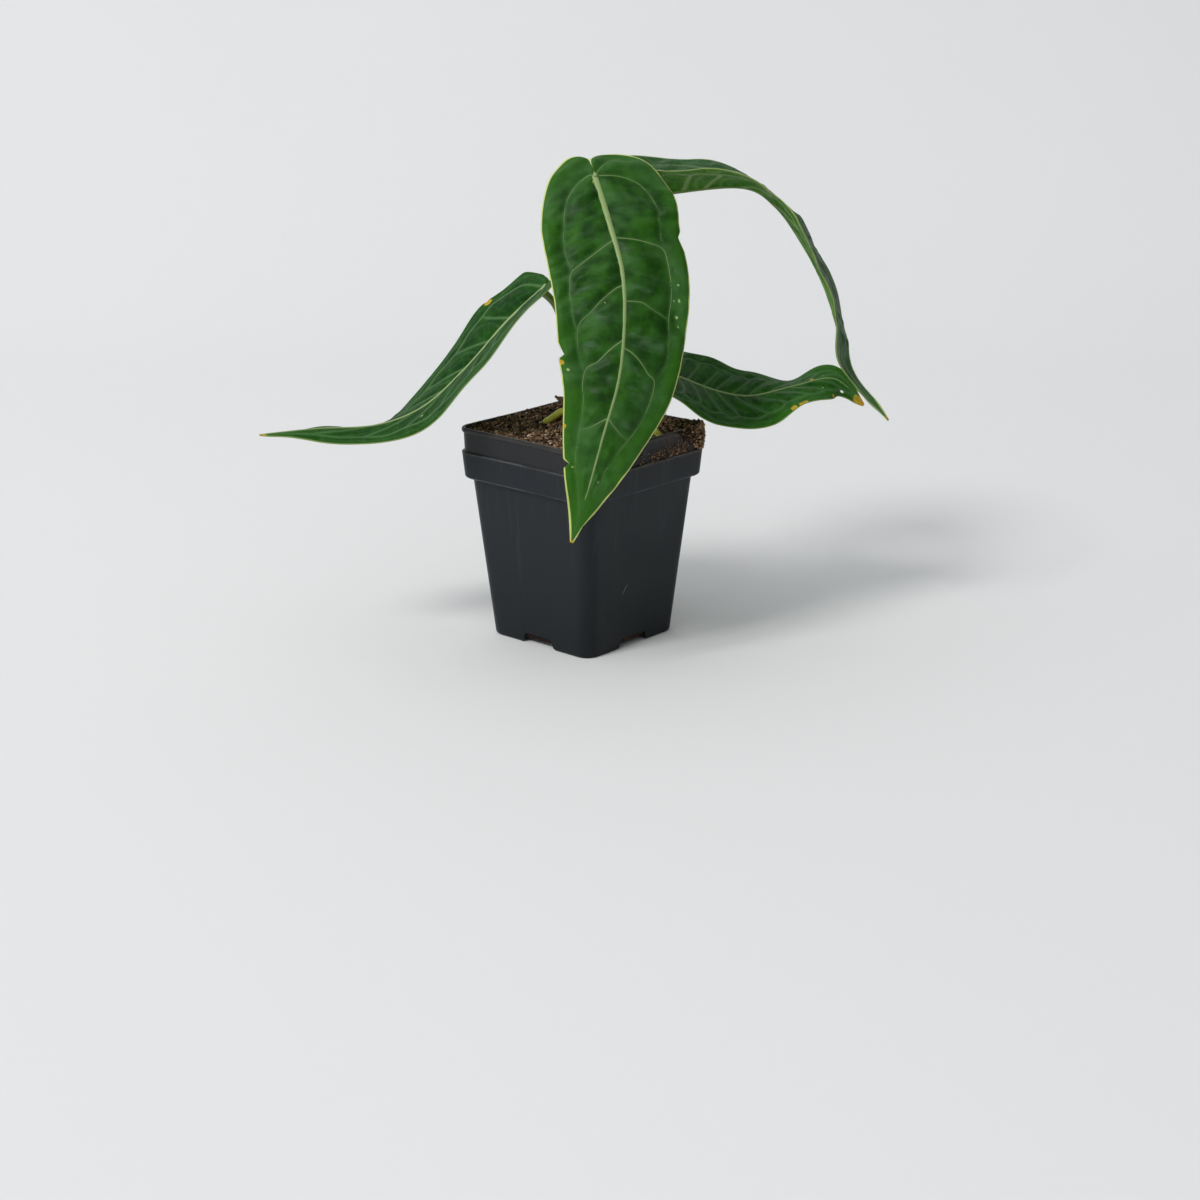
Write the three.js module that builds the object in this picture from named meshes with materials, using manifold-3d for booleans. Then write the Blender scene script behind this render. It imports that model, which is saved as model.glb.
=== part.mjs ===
// Queen anthurium in a square nursery pot.
// Millimetres, +Z up. The origin is the middle of the pot's underside, and the viewer stands at -Y.

import * as THREE from "three";
import { mergeVertices } from "three/addons/utils/BufferGeometryUtils.js";
import Module from "manifold-3d";

const wasm = await Module();
wasm.setup();

// Driving dimensions
const POT_WIDTH = 100;
const POT_HEIGHT = 121;
const POT_FOOT_WIDTH = 75;
const POT_TURN = THREE.MathUtils.degToRad(48);
const CORNER_RADIUS = 8;
const WALL = 1.4;
const FLOOR = 2;
const LIP_HEIGHT = 107;
const COLLAR_FOOT = 92;
const MIX_HEIGHT = 119.2;
const BLADE_THICKNESS = 0.8;
const RIB_RISE = 1.4;
const CLEARANCE = 0.3;

// Stem: its axis, and its radius by height
const STEM_X = 0;
const STEM_Y = 5;
const STEM_PROFILE = [
  [4.2, 98], [6.4, 104], [6.9, 111], [6.2, 114], [7.1, 118], [6.3, 121], [6.9, 125], [5.4, 130], [2.8, 134],
];
const STEM_HOLE_RADIUS = 7.6;

const group = new THREE.Group();

function finish(color, roughness, metalness = 0) {
  return new THREE.MeshStandardMaterial({ color, roughness, metalness });
}

const potPlastic = finish("#2b2e33", 0.55);
const peat = finish("#4a3526", 0.95);
const leafGreen = finish("#1f4a22", 0.5);
const stalkGreen = finish("#6f9040", 0.5);
const rootGreen = finish("#9aa050", 0.6);
const dryBrown = finish("#5a3d26", 0.85);

function add(name, geometry, material) {
  const mesh = new THREE.Mesh(geometry, material);
  mesh.name = name;
  group.add(mesh);
}

// A seeded draw, so that the crumbs and chips fall in the same places each time
function seeded(seed) {
  let state = seed;
  return () => {
    state = (state * 1664525 + 1013904223) % 4294967296;
    return state / 4294967296;
  };
}

// Smooth value at t, 0 to 1, of a list of values that are evenly spaced
function smooth(values, t) {
  const place = THREE.MathUtils.clamp(t, 0, 1) * (values.length - 1);
  const i = Math.min(Math.floor(place), values.length - 2);
  const w = place - i;
  const [b, c] = [values[i], values[i + 1]];
  const a = i > 0 ? values[i - 1] : 2 * b - c;
  const d = i + 2 < values.length ? values[i + 2] : 2 * c - b;
  const [leave, arrive] = [(c - a) / 2, (d - b) / 2];
  const [bend, twist] = [3 * (c - b) - 2 * leave - arrive, 2 * (b - c) + leave + arrive];
  return b + leave * w + bend * w ** 2 + twist * w ** 3;
}

function geometryFrom(points, triangles) {
  const geometry = new THREE.BufferGeometry();
  const numbers = points.flatMap((p) => [p.x, p.y, p.z]);
  geometry.setAttribute("position", new THREE.Float32BufferAttribute(numbers, 3));
  geometry.setIndex(triangles.flat());
  return geometry;
}

// A closed skin over rings of equal count, each ring running anticlockwise seen from the last ring's side
function skin(rings) {
  const count = rings[0].length;
  const points = rings.flat();
  const triangles = [];
  for (let r = 0; r + 1 < rings.length; r++) {
    for (let k = 0; k < count; k++) {
      const [a, b] = [r * count + k, r * count + ((k + 1) % count)];
      triangles.push([a, b, b + count], [a, b + count, a + count]);
    }
  }
  const caps = [[rings[0], 0, true], [rings.at(-1), (rings.length - 1) * count, false]];
  for (const [ring, first, flip] of caps) {
    const middle = ring.reduce((sum, p) => sum.add(p), new THREE.Vector3()).divideScalar(count);
    const hub = points.push(middle) - 1;
    for (let k = 0; k < count; k++) {
      const [a, b] = [first + k, first + ((k + 1) % count)];
      triangles.push(flip ? [hub, b, a] : [hub, a, b]);
    }
  }
  return geometryFrom(points, triangles);
}

// Booleans
function toSolid(geometry) {
  const bare = geometry.clone();
  bare.deleteAttribute("normal");
  bare.deleteAttribute("uv");
  const merged = mergeVertices(bare);
  return new wasm.Manifold(new wasm.Mesh({
    numProp: 3,
    vertProperties: new Float32Array(merged.attributes.position.array),
    triVerts: new Uint32Array(merged.index.array),
  }));
}

// Cuts leave slivers, so corners closer than the weld are made one, and triangles that vanish are dropped
const WELD = 0.02;

function fromSolid(solid) {
  const mesh = solid.getMesh();
  const raw = new THREE.BufferGeometry();
  raw.setAttribute("position", new THREE.BufferAttribute(new Float32Array(mesh.vertProperties), 3));
  raw.setIndex(new THREE.BufferAttribute(new Uint32Array(mesh.triVerts), 1));
  const geometry = mergeVertices(raw, WELD);
  const corners = geometry.index.array;
  const kept = [];
  for (let i = 0; i < corners.length; i += 3) {
    const [a, b, c] = corners.slice(i, i + 3);
    if (a !== b && b !== c && c !== a) kept.push(a, b, c);
  }
  geometry.setIndex(kept);
  return geometry;
}

// Rounded square

// The point on a rounded square's outline, and its normal there.
// The distance runs along the outline from the middle of its right corner.
function outlinePoint(half, radius, distance, height) {
  const side = 2 * (half - radius);
  const bend = (Math.PI / 2) * radius;
  const span = side + bend;
  const quarter = Math.floor((distance + bend / 2) / span);
  const rest = distance + bend / 2 - quarter * span;
  const turn = POT_TURN - Math.PI / 4 + quarter * (Math.PI / 2);
  const onBend = Math.min(rest, bend);
  const angle = onBend / radius - Math.PI / 4;
  const local = new THREE.Vector3(
    (half - radius) * Math.SQRT2 + radius * Math.cos(angle),
    radius * Math.sin(angle),
    0,
  );
  const normal = new THREE.Vector3(Math.cos(angle), Math.sin(angle), 0);
  const run = Math.max(rest - bend, 0);
  local.add(new THREE.Vector3(-normal.y, normal.x, 0).multiplyScalar(run));
  const up = new THREE.Vector3(0, 0, 1);
  return {
    point: local.applyAxisAngle(up, turn).setZ(height),
    normal: normal.applyAxisAngle(up, turn),
  };
}

const CORNER_STEPS = 5;

function squareRing(half, radius, height, sideSteps = 1) {
  const side = 2 * (half - radius);
  const bend = (Math.PI / 2) * radius;
  const ring = [];
  for (let quarter = 0; quarter < 4; quarter++) {
    const start = quarter * (side + bend) - bend / 2;
    for (let k = 0; k <= CORNER_STEPS; k++) {
      ring.push(outlinePoint(half, radius, start + (bend * k) / CORNER_STEPS, height).point);
    }
    for (let k = 1; k < sideSteps; k++) {
      ring.push(outlinePoint(half, radius, start + bend + (side * k) / sideSteps, height).point);
    }
  }
  return ring;
}

// Pot: one thin moulded shell, with a beaded rim, a band, a collar under a lip, and a tapered body
const HALF = POT_WIDTH / 2;
const FOOT_HALF = POT_FOOT_WIDTH / 2;
const BODY_TOP_HALF = HALF - 4.4;

const POT_OUTSIDE = [
  [FOOT_HALF - 1, 0],
  [FOOT_HALF, 1],
  [BODY_TOP_HALF, COLLAR_FOOT - 0.5],
  [HALF - 2, COLLAR_FOOT],
  [HALF - 1.1, COLLAR_FOOT + 0.9],
  [HALF - 0.1, LIP_HEIGHT - 1],
  [HALF + 0.1, LIP_HEIGHT],
  [HALF - 0.3, LIP_HEIGHT + 0.6],
  [HALF - 1.1, LIP_HEIGHT + 0.8],
  [HALF - 0.8, POT_HEIGHT - 2.7],
  [HALF - 0.1, POT_HEIGHT - 2.4],
  [HALF, POT_HEIGHT - 0.6],
  [HALF - 0.5, POT_HEIGHT],
];
const POT_INSIDE = [
  [HALF - WALL, POT_HEIGHT],
  [HALF - WALL - 0.4, POT_HEIGHT - 0.5],
  [HALF - 3.2, COLLAR_FOOT + 2],
  [BODY_TOP_HALF - WALL, COLLAR_FOOT - 0.8],
  [FOOT_HALF - WALL, FLOOR + 1],
  [FOOT_HALF - WALL - 1, FLOOR],
];

const NOTCH_WIDTH = 22.4;
const NOTCH_HEIGHT = 6;
const NOTCH_REACH = 8;

function notchCutter(side) {
  const half = NOTCH_WIDTH / 2;
  const flare = 3.5;
  const shape = new THREE.Shape();
  shape.moveTo(-half - flare, -1);
  shape.lineTo(-half - flare, 0);
  shape.quadraticCurveTo(-half, 0, -half + 0.2, NOTCH_HEIGHT / 2);
  shape.quadraticCurveTo(-half + 0.5, NOTCH_HEIGHT, -half + flare, NOTCH_HEIGHT);
  shape.lineTo(half - flare, NOTCH_HEIGHT);
  shape.quadraticCurveTo(half - 0.5, NOTCH_HEIGHT, half - 0.2, NOTCH_HEIGHT / 2);
  shape.quadraticCurveTo(half, 0, half + flare, 0);
  shape.lineTo(half + flare, -1);
  const cutter = new THREE.ExtrudeGeometry(shape, {
    depth: NOTCH_REACH * 2,
    bevelEnabled: false,
    curveSegments: 5,
  });
  cutter.rotateX(Math.PI / 2);
  cutter.translate(0, -FOOT_HALF + NOTCH_REACH, 0);
  cutter.rotateZ(POT_TURN + (side * Math.PI) / 2);
  return toSolid(cutter);
}

function potShell(grow) {
  const outside = POT_OUTSIDE.map(([half, z]) => [half + grow, z === POT_HEIGHT ? z + grow : z]);
  const inside = POT_INSIDE.map(([half, z]) => {
    const flat = z === POT_HEIGHT || z === FLOOR;
    return [half - grow, flat ? z + grow : z];
  });
  return toSolid(skin([
    ...outside.map(([half, z]) => squareRing(half, CORNER_RADIUS, z)),
    ...inside.map(([half, z]) => squareRing(half, CORNER_RADIUS - WALL, z)),
  ]));
}

let potSolid = potShell(0);
for (let side = 0; side < 4; side++) potSolid = potSolid.subtract(notchCutter(side));
add("pot", fromSolid(potSolid), potPlastic);

// A round stalk along a smooth line through the points, its radius read along its length
function stalk(points, radii, { sides = 10, steps = 14, grow = 0 } = {}) {
  const ends = points.map((p) => new THREE.Vector3(...p));
  if (grow > 0) {
    const last = ends.at(-1);
    last.add(last.clone().sub(ends.at(-2)).setLength(2 * grow));
  }
  const curve = new THREE.CatmullRomCurve3(ends, false, "catmullrom", 0.5);
  const rings = [];
  let out = new THREE.Vector3(1, 0.2, 0);
  for (let i = 0; i <= steps; i++) {
    const along = curve.getTangent(i / steps);
    out = out.clone().addScaledVector(along, -out.dot(along)).normalize();
    const turn = along.clone().cross(out);
    const radius = smooth(radii, i / steps) + grow;
    const middle = curve.getPoint(i / steps);
    const ring = [];
    for (let k = 0; k < sides; k++) {
      const angle = (2 * Math.PI * k) / sides;
      ring.push(middle.clone()
        .addScaledVector(out, radius * Math.cos(angle))
        .addScaledVector(turn, radius * Math.sin(angle)));
    }
    rings.push(ring);
  }
  return skin(rings);
}

// Stem: short and ringed by old leaf scars
function stemSolid(grow) {
  const profile = [
    new THREE.Vector2(0, STEM_PROFILE[0][1] - 1 - grow),
    ...STEM_PROFILE.map(([radius, z]) => new THREE.Vector2(radius + grow, z)),
    new THREE.Vector2(0, STEM_PROFILE.at(-1)[1] + 1.4 + grow),
  ];
  const lathe = new THREE.LatheGeometry(profile, 16);
  lathe.rotateX(Math.PI / 2);
  lathe.translate(STEM_X, STEM_Y, 0);
  return toSolid(lathe);
}

const clearOfStem = stemSolid(CLEARANCE);
add("stem", fromSolid(stemSolid(0)), stalkGreen);

// Prop roots: they leave the crown, arch over the mix and go down into it
const ROOTS = {
  root_left: [[-2, 5, 125], [-10, 5.5, 127.5], [-17, 6.5, 123.5], [-23, 7.5, 118], [-26, 8.5, 108], [-26, 9, 98]],
  root_right: [
    [3, 3, 121], [15, -5, 126.5], [30, -12, 125.5], [41, -17, 120], [43, -18, 110], [42, -17, 100],
  ],
  root_front: [[1, 1, 122], [4, -8, 125], [6, -15, 121], [7, -18, 112], [7, -19, 100]],
  root_back: [[3, 7, 121], [11, 14, 125], [16, 22, 122], [18, 27, 113], [18, 28, 101]],
};
const ROOT_RADII = [2.3, 2.1, 1.9, 1.9, 1.7, 1.2];
const stalksInMix = [];

for (const [name, points] of Object.entries(ROOTS)) {
  const root = toSolid(stalk(points, ROOT_RADII, { sides: 8 })).subtract(clearOfStem);
  add(name, fromSolid(root), rootGreen);
  stalksInMix.push(toSolid(stalk(points, ROOT_RADII, { sides: 8, grow: CLEARANCE })));
}

// Leaf blades

// The outline of one half of a blade, from the top of its basal lobe to the tip:
// share of the half-width, share of the midrib's length
const BLADE_OUTLINE = [
  [0.17, -0.086], [0.48, -0.073], [0.76, -0.02], [0.92, 0.05], [1, 0.14], [0.99, 0.25],
  [0.94, 0.37], [0.85, 0.49], [0.73, 0.605], [0.56, 0.72], [0.36, 0.83], [0.15, 0.93], [0.022, 1],
];
const SHEATH_OUTLINE = [
  [0.7, 0], [0.95, 0.12], [1.1, 0.3], [1.15, 0.5], [1, 0.72], [0.7, 0.9], [0.3, 1],
];

// midrib: from the stalk to the tip. facing: where the upper face looks at the stalk.
// half: half-widths, left and right of the midrib, seen with the tip down and the upper face to the viewer.
// tilt: degrees that each half is folded up from the midrib, evenly spaced from the stalk to the tip.
// swell: how much each half is wider than the outline, evenly spaced. lobe: how long the basal lobes are.
const EVEN = [1, 1];
const LEAVES = {
  front: {
    midrib: [
      [7, -22, 262], [14, -42, 242], [21, -60, 218], [22, -74, 193],
      [19, -83, 165], [11, -89, 137], [3, -91, 108], [-6, -93, 80],
    ],
    facing: [0, -0.35, 0.94],
    half: [42, 40],
    tilt: [[-5, -5, -5, -8, -10, -10, -8], [-3, -3, -3, -4, -6, -8, -8]],
    swell: [
      [0.6, 0.71, 0.81, 0.89, 0.93, 0.96, 0.92, 1.02, 0.9],
      [0.75, 1.07, 1.09, 0.95, 0.94, 0.99, 1.04, 0.99, 0.9],
    ],
    lobe: 1,
    wave: { height: 1.2, count: 6, phase: 0.6 },
  },
  left: {
    midrib: [
      [-20, 4, 198], [-41, -4, 180], [-63, -8, 156], [-87, -14, 135],
      [-113, -21, 126], [-145, -29, 126], [-175, -38, 125],
    ],
    facing: [-0.66, 0, 0.75],
    half: [36, 33],
    tilt: [[24, 25, 22, 12, -4, 1, -5], [10, 6, 2, -7, -20, -28, -35]],
    swell: [EVEN, EVEN],
    lobe: 0.35,
    wave: { height: 0.8, count: 5, phase: 2.1 },
  },
  right: {
    midrib: [
      [34, 8, 154], [55, 8, 146], [76, 9, 138], [95, 11, 135],
      [119, 14, 140], [142, 18, 143], [159, 21, 127],
    ],
    facing: [0, -0.3, 0.95],
    half: [37, 34],
    tilt: [[16, 16, 6, 6, 11, -17, -53], [-1, 2, 5, -1, -23, 5, 35]],
    swell: [EVEN, EVEN],
    lobe: 1,
    wave: { height: 0.8, count: 5, phase: 4.4 },
  },
  back: {
    midrib: [
      [22, 38, 242], [46, 40, 244], [88, 30, 248.5], [107, 25, 238.5], [122, 13, 218.5],
      [133.5, 8, 197], [141, -1, 173.5], [144, -7, 153.5], [169, -12, 126],
    ],
    facing: [0, 0, 1],
    half: [36, 37],
    tilt: [[30, 34, 27, 29, 25, 19, 16], [40, 24, 1, -2, -3, 1, 21]],
    swell: [EVEN, EVEN],
    lobe: 1,
    wave: { height: 1.2, count: 7, phase: 1.3 },
  },
};
const BLADE_CURL = -6;
const LOBE_DROP = 2;
const LOBE_ROUND = [0.1, 0.026];
const RIB_STEPS = 120;
const BLADE_ROWS = 32;
const BLADE_COLUMNS = [-1, -0.78, -0.5, -0.22, -0.05, 0, 0.05, 0.22, 0.5, 0.78, 1];
const SHEATH_COLUMNS = [-1, -0.5, 0, 0.5, 1];

// The midrib in small steps, with the directions along it, across the blade and out of the upper face
function midribStations(leaf) {
  const points = leaf.midrib.map((p) => new THREE.Vector3(...p));
  const curve = new THREE.CatmullRomCurve3(points, false, "catmullrom", 0.5);
  const stations = [];
  let normal = new THREE.Vector3(...leaf.facing);
  for (let i = 0; i <= RIB_STEPS; i++) {
    const point = curve.getPoint(i / RIB_STEPS);
    const ahead = curve.getPoint(Math.min(i + 1, RIB_STEPS) / RIB_STEPS);
    const along = ahead.sub(curve.getPoint(Math.max(i - 1, 0) / RIB_STEPS)).normalize();
    normal = normal.clone().addScaledVector(along, -normal.dot(along)).normalize();
    const across = normal.clone().cross(along);
    const travelled = i > 0 ? stations[i - 1].travelled + point.distanceTo(stations[i - 1].point) : 0;
    stations.push({ point, along, across, normal, travelled });
  }
  return stations;
}

function stationAt(stations, distance) {
  const last = stations.length - 2;
  let i = 0;
  while (i < last && stations[i + 1].travelled < distance) i++;
  const [a, b] = [stations[i], stations[i + 1]];
  const w = THREE.MathUtils.clamp((distance - a.travelled) / (b.travelled - a.travelled), 0, 1);
  const mix = (key) => a[key].clone().lerp(b[key], w);
  return { point: mix("point"), along: mix("along"), across: mix("across"), normal: mix("normal") };
}

// The middle of the blade at u along it and v across it, -1 to 1
function bladePoint(leaf, stations, u, v) {
  const length = stations.at(-1).travelled;
  const half = v < 0 ? 0 : 1;
  const share = Math.abs(v);
  const outline = leaf.outline ?? BLADE_OUTLINE;
  const corner = (1 - u) ** 40;
  const widthShare = smooth(outline.map((p) => p[0]), u) - LOBE_ROUND[0] * corner;
  const edgeX = widthShare * smooth(leaf.swell[half], u) * leaf.half[half];
  const edgeShare = smooth(outline.map((p) => p[1]), u) + LOBE_ROUND[1] * corner;
  const edgeY = (edgeShare < 0 ? edgeShare * leaf.lobe : edgeShare) * length;
  const ribY = length * u ** 1.5;
  const nearLobe = (1 - u) ** 12;
  const x = edgeX * (share + 0.65 * (share ** 2 - share) * nearLobe);
  const plain = share ** 1.35;
  const y = ribY + (edgeY - ribY) * (plain + (share * (2 - share) - plain) * nearLobe);
  const place = THREE.MathUtils.clamp(y / length, 0, 1);
  const station = stationAt(stations, place * length);
  const fold = smooth(leaf.tilt[half], place) + BLADE_CURL * (x / leaf.half[half]);
  const angle = THREE.MathUtils.degToRad(fold);
  const wave = leaf.wave.height * Math.sin(2 * Math.PI * leaf.wave.count * u + leaf.wave.phase + half * 2);
  const lift = x * Math.sin(angle) + wave * share ** 3 * Math.min(1, 6 * (1 - u));
  const drop = y < 0 ? LOBE_DROP * (y / 15) ** 2 : 0;
  return station.point
    .addScaledVector(station.along, Math.min(y, 0))
    .addScaledVector(station.across, Math.sign(v) * x * Math.cos(angle))
    .addScaledVector(station.normal, lift - drop);
}

// A closed thin sheet over the blade, thicker along the midrib, split alike on both faces
function bladeSheet(leaf, rows = BLADE_ROWS, rib = RIB_RISE) {
  const stations = midribStations(leaf);
  const columns = leaf.columns ?? BLADE_COLUMNS;
  const count = columns.length;
  const middle = [];
  for (let r = 0; r <= rows; r++) {
    const u = r / rows;
    const even = u ** 4 + (1 - u) ** 24;
    middle.push(columns.map((v, k) => {
      const evenly = (2 * k) / (count - 1) - 1;
      return bladePoint(leaf, stations, u, v + (evenly - v) * even);
    }));
  }
  const [upper, lower] = [[], []];
  for (let r = 0; r <= rows; r++) {
    for (let k = 0; k < count; k++) {
      const along = middle[Math.min(r + 1, rows)][k].clone().sub(middle[Math.max(r - 1, 0)][k]);
      const across = middle[r][Math.min(k + 1, count - 1)].clone().sub(middle[r][Math.max(k - 1, 0)]);
      const normal = along.cross(across).normalize();
      const ridge = k === (count - 1) / 2 ? rib * (1 - (0.8 * r) / rows) : 0;
      upper.push(middle[r][k].clone().addScaledVector(normal, BLADE_THICKNESS / 2 + 0.4 * ridge));
      lower.push(middle[r][k].clone().addScaledVector(normal, -BLADE_THICKNESS / 2 - 0.6 * ridge));
    }
  }
  const under = upper.length;
  const triangles = [];
  for (let r = 0; r < rows; r++) {
    for (let k = 0; k + 1 < count; k++) {
      const [a, b] = [r * count + k, r * count + k + 1];
      const [c, d] = [a + count, b + count];
      triangles.push([a, c, b], [b, c, d]);
      triangles.push([under + a, under + b, under + c], [under + b, under + d, under + c]);
    }
  }
  const edge = [];
  for (let k = 0; k + 1 < count; k++) edge.push(k);
  for (let r = 0; r < rows; r++) edge.push(r * count + count - 1);
  for (let k = count - 1; k > 0; k--) edge.push(rows * count + k);
  for (let r = rows; r > 0; r--) edge.push(r * count);
  edge.forEach((a, i) => {
    const b = edge[(i + 1) % edge.length];
    triangles.push([a, b, under + b], [a, under + b, under + a]);
  });
  return geometryFrom([...upper, ...lower], triangles);
}

for (const [name, leaf] of Object.entries(LEAVES)) {
  add(`leaf_${name}`, bladeSheet(leaf), leafGreen);
}

// Petioles: round stalks that leave the crown and meet the blade's underside square on, at its heart
const PETIOLE_WAY = {
  front: [[1, 4, 124], [4, 3, 150], [5, 4, 190], [5, 2, 225]],
  left: [[-1, 6, 124], [-6, 7, 145], [-9, 7, 168]],
  right: [[2, 5, 123], [11, 7, 132], [22, 10, 138]],
  back: [[1, 8, 124], [6, 17, 150], [14, 30, 190], [20, 36, 218]],
};
const PETIOLE_RADII = [3.2, 2.7, 2.2, 2, 1.9, 1.9, 2.1, 2.4];
const PETIOLE_SEAT = 3;
const GENICULUM = 12;

for (const [name, way] of Object.entries(PETIOLE_WAY)) {
  const station = stationAt(midribStations(LEAVES[name]), PETIOLE_SEAT);
  const under = BLADE_THICKNESS / 2 + 0.6 * RIB_RISE + CLEARANCE;
  const end = station.point.clone().addScaledVector(station.normal, -under);
  const bend = station.point.clone().addScaledVector(station.normal, -GENICULUM);
  const points = [...way, bend.toArray(), end.toArray()];
  const steps = name === "right" ? 12 : 18;
  const petiole = toSolid(stalk(points, PETIOLE_RADII, { sides: 8, steps })).subtract(clearOfStem);
  add(`petiole_${name}`, fromSolid(petiole), stalkGreen);
  stalksInMix.push(toSolid(stalk(points, PETIOLE_RADII, { sides: 8, steps, grow: CLEARANCE })));
}

// Dry sheaths: brown, cupped scales that once wrapped the young leaves
const SHEATHS = {
  dry_sheath: {
    midrib: [[-5.4, 10, 121.5], [-8, 12, 126.5], [-11.5, 13.5, 131], [-15.5, 14, 134]],
    facing: [0.9, -0.3, 0.4],
  },
  dry_sheath_back: {
    midrib: [[-0.5, 12, 121.5], [-1, 15, 128], [-2, 18.5, 134], [-4, 22, 139]],
    facing: [0.2, -0.9, 0.4],
  },
};
for (const [name, sheath] of Object.entries(SHEATHS)) {
  const leaf = {
    ...sheath,
    half: [4, 4],
    tilt: [[38, 34, 26, 10], [38, 34, 26, 10]],
    swell: [EVEN, EVEN],
    lobe: 1,
    wave: { height: 0.5, count: 2, phase: 0 },
    outline: SHEATH_OUTLINE,
    columns: SHEATH_COLUMNS,
  };
  const scale = toSolid(bladeSheet(leaf, 6, 0)).subtract(clearOfStem);
  add(name, fromSolid(scale), dryBrown);
}

// Potting mix: peat and bark, filled to just under the rim, heaped at the right corner and spilling over it
const MIX_SIDES = [[FOOT_HALF - WALL - 1, FLOOR], ...POT_INSIDE.slice(2, 5).reverse()];
const MIX_GAP = 0.4;
const MIX_SIDE_STEPS = 6;
const MIX_RINGS = 9;
const RIGHT_CORNER_ANGLE = POT_TURN - Math.PI / 4;
const draw = seeded(7);

function mixHeight(x, y, ring) {
  const towardsCorner = x * Math.cos(RIGHT_CORNER_ANGLE) + y * Math.sin(RIGHT_CORNER_ANGLE);
  const heap = 3 * Math.max(0, towardsCorner / (HALF * Math.SQRT2)) ** 3;
  const dome = 1.2 * (1 - ring) ** 2;
  return MIX_HEIGHT + heap + dome + (draw() - 0.5) * 1.4;
}

function mixBody() {
  const rings = MIX_SIDES.map(([half, z]) => {
    const height = z === FLOOR ? z + MIX_GAP : z;
    return squareRing(half - MIX_GAP, CORNER_RADIUS - WALL, height, MIX_SIDE_STEPS);
  });
  for (let k = 0; k < MIX_RINGS; k++) {
    const share = 1 - k / MIX_RINGS;
    const half = (HALF - 2.4) * share;
    const ring = squareRing(half, Math.min((CORNER_RADIUS - WALL) * share, half), 0, MIX_SIDE_STEPS);
    ring.forEach((p) => p.setZ(mixHeight(p.x, p.y, share)));
    rings.push(ring);
  }
  return toSolid(skin(rings));
}

// Mix that went over the rim: a crust that clings to the band from the right corner towards the front
const SPILL_START = -40;
const SPILL_END = 9;
const SPILL_STEPS = 16;

function spillCrust() {
  const rings = [];
  for (let i = 0; i <= SPILL_STEPS; i++) {
    const t = i / SPILL_STEPS;
    const distance = SPILL_START + (SPILL_END - SPILL_START) * t;
    const { point, normal } = outlinePoint(HALF, CORNER_RADIUS, distance, 0);
    const full = smooth([0.12, 0.45, 0.8, 1, 0.9, 0.15], t);
    const foot = POT_HEIGHT - 1 - full * (POT_HEIGHT - LIP_HEIGHT - 2.6) + (draw() - 0.5) * 1.6;
    const proud = 0.4 + full * 0.5 + (draw() - 0.5) * 0.4;
    const crest = POT_HEIGHT + 0.7 + full * 1.6 + (draw() - 0.5) * 0.8;
    const section = [
      [-5, crest - 1],
      [-1.5, crest],
      [proud * 0.7, crest - 0.6],
      [proud, (foot + crest) / 2],
      [proud * 0.6, foot],
      [-0.4, foot],
      [-5, POT_HEIGHT - 5],
    ];
    rings.push(section.map(([outward, z]) => point.clone().addScaledVector(normal, outward).setZ(z)));
  }
  return toSolid(skin(rings));
}

// Bark chips and crumbs, half sunk in the surface
const CHIPS = 44;

function chip(x, y, z, size) {
  const lump = new THREE.IcosahedronGeometry(size, 0);
  lump.scale(1, 0.55 + 0.35 * draw(), 0.45 + 0.3 * draw());
  lump.rotateX((draw() - 0.5) * 1.2);
  lump.rotateZ(draw() * Math.PI);
  lump.translate(x, y, z);
  return toSolid(lump);
}

let mix = mixBody().add(spillCrust());
for (let i = 0; i < CHIPS; i++) {
  const half = (HALF - 5) * Math.sqrt(draw());
  const around = draw() * 8 * half;
  const { point } = outlinePoint(half, Math.min(CORNER_RADIUS, half), around, 0);
  mix = mix.add(chip(point.x, point.y, MIX_HEIGHT + 0.2, 2.2 + 1.6 * draw() ** 2));
}
mix = mix.subtract(potShell(CLEARANCE));

const hole = new THREE.CylinderGeometry(STEM_HOLE_RADIUS, STEM_HOLE_RADIUS, 40, 20);
hole.rotateX(Math.PI / 2);
hole.translate(STEM_X, STEM_Y, STEM_PROFILE[0][1] - 1.5 + 20);
mix = mix.subtract(toSolid(hole));
for (const solid of stalksInMix) mix = mix.subtract(solid);
mix = mix.decompose().sort((a, b) => b.volume() - a.volume())[0];
add("potting_mix", fromSolid(mix), peat);

export default group;
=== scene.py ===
"""Queen anthurium in a square nursery pot: its finished look, in metres, in the CAD part's frame."""

import bisect
import random
from math import copysign, cos, exp, floor, hypot, pi, radians, sin, sqrt, tau

import bmesh
import bpy
from mathutils import Matrix, Vector, kdtree, noise


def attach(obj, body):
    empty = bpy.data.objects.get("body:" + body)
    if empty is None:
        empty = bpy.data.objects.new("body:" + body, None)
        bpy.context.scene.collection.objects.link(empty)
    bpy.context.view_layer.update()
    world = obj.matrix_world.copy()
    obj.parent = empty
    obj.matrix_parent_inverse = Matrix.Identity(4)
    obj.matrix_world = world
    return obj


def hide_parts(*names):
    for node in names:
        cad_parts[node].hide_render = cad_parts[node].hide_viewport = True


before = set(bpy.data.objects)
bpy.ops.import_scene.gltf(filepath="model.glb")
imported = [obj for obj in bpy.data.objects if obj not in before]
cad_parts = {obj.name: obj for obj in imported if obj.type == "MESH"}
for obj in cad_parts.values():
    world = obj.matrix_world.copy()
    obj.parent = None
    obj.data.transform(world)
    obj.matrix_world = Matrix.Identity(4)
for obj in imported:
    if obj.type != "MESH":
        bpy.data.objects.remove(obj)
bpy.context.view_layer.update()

# Viewpoint.
# A long lens a little above the plant looks down on it by 18 degrees, with the plant in the upper half.
LOOK_DOWN = 17.89
LOOK_ASIDE = -0.43
camera_data = bpy.data.cameras.new("camera")
camera_data.sensor_width = 36
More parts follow.
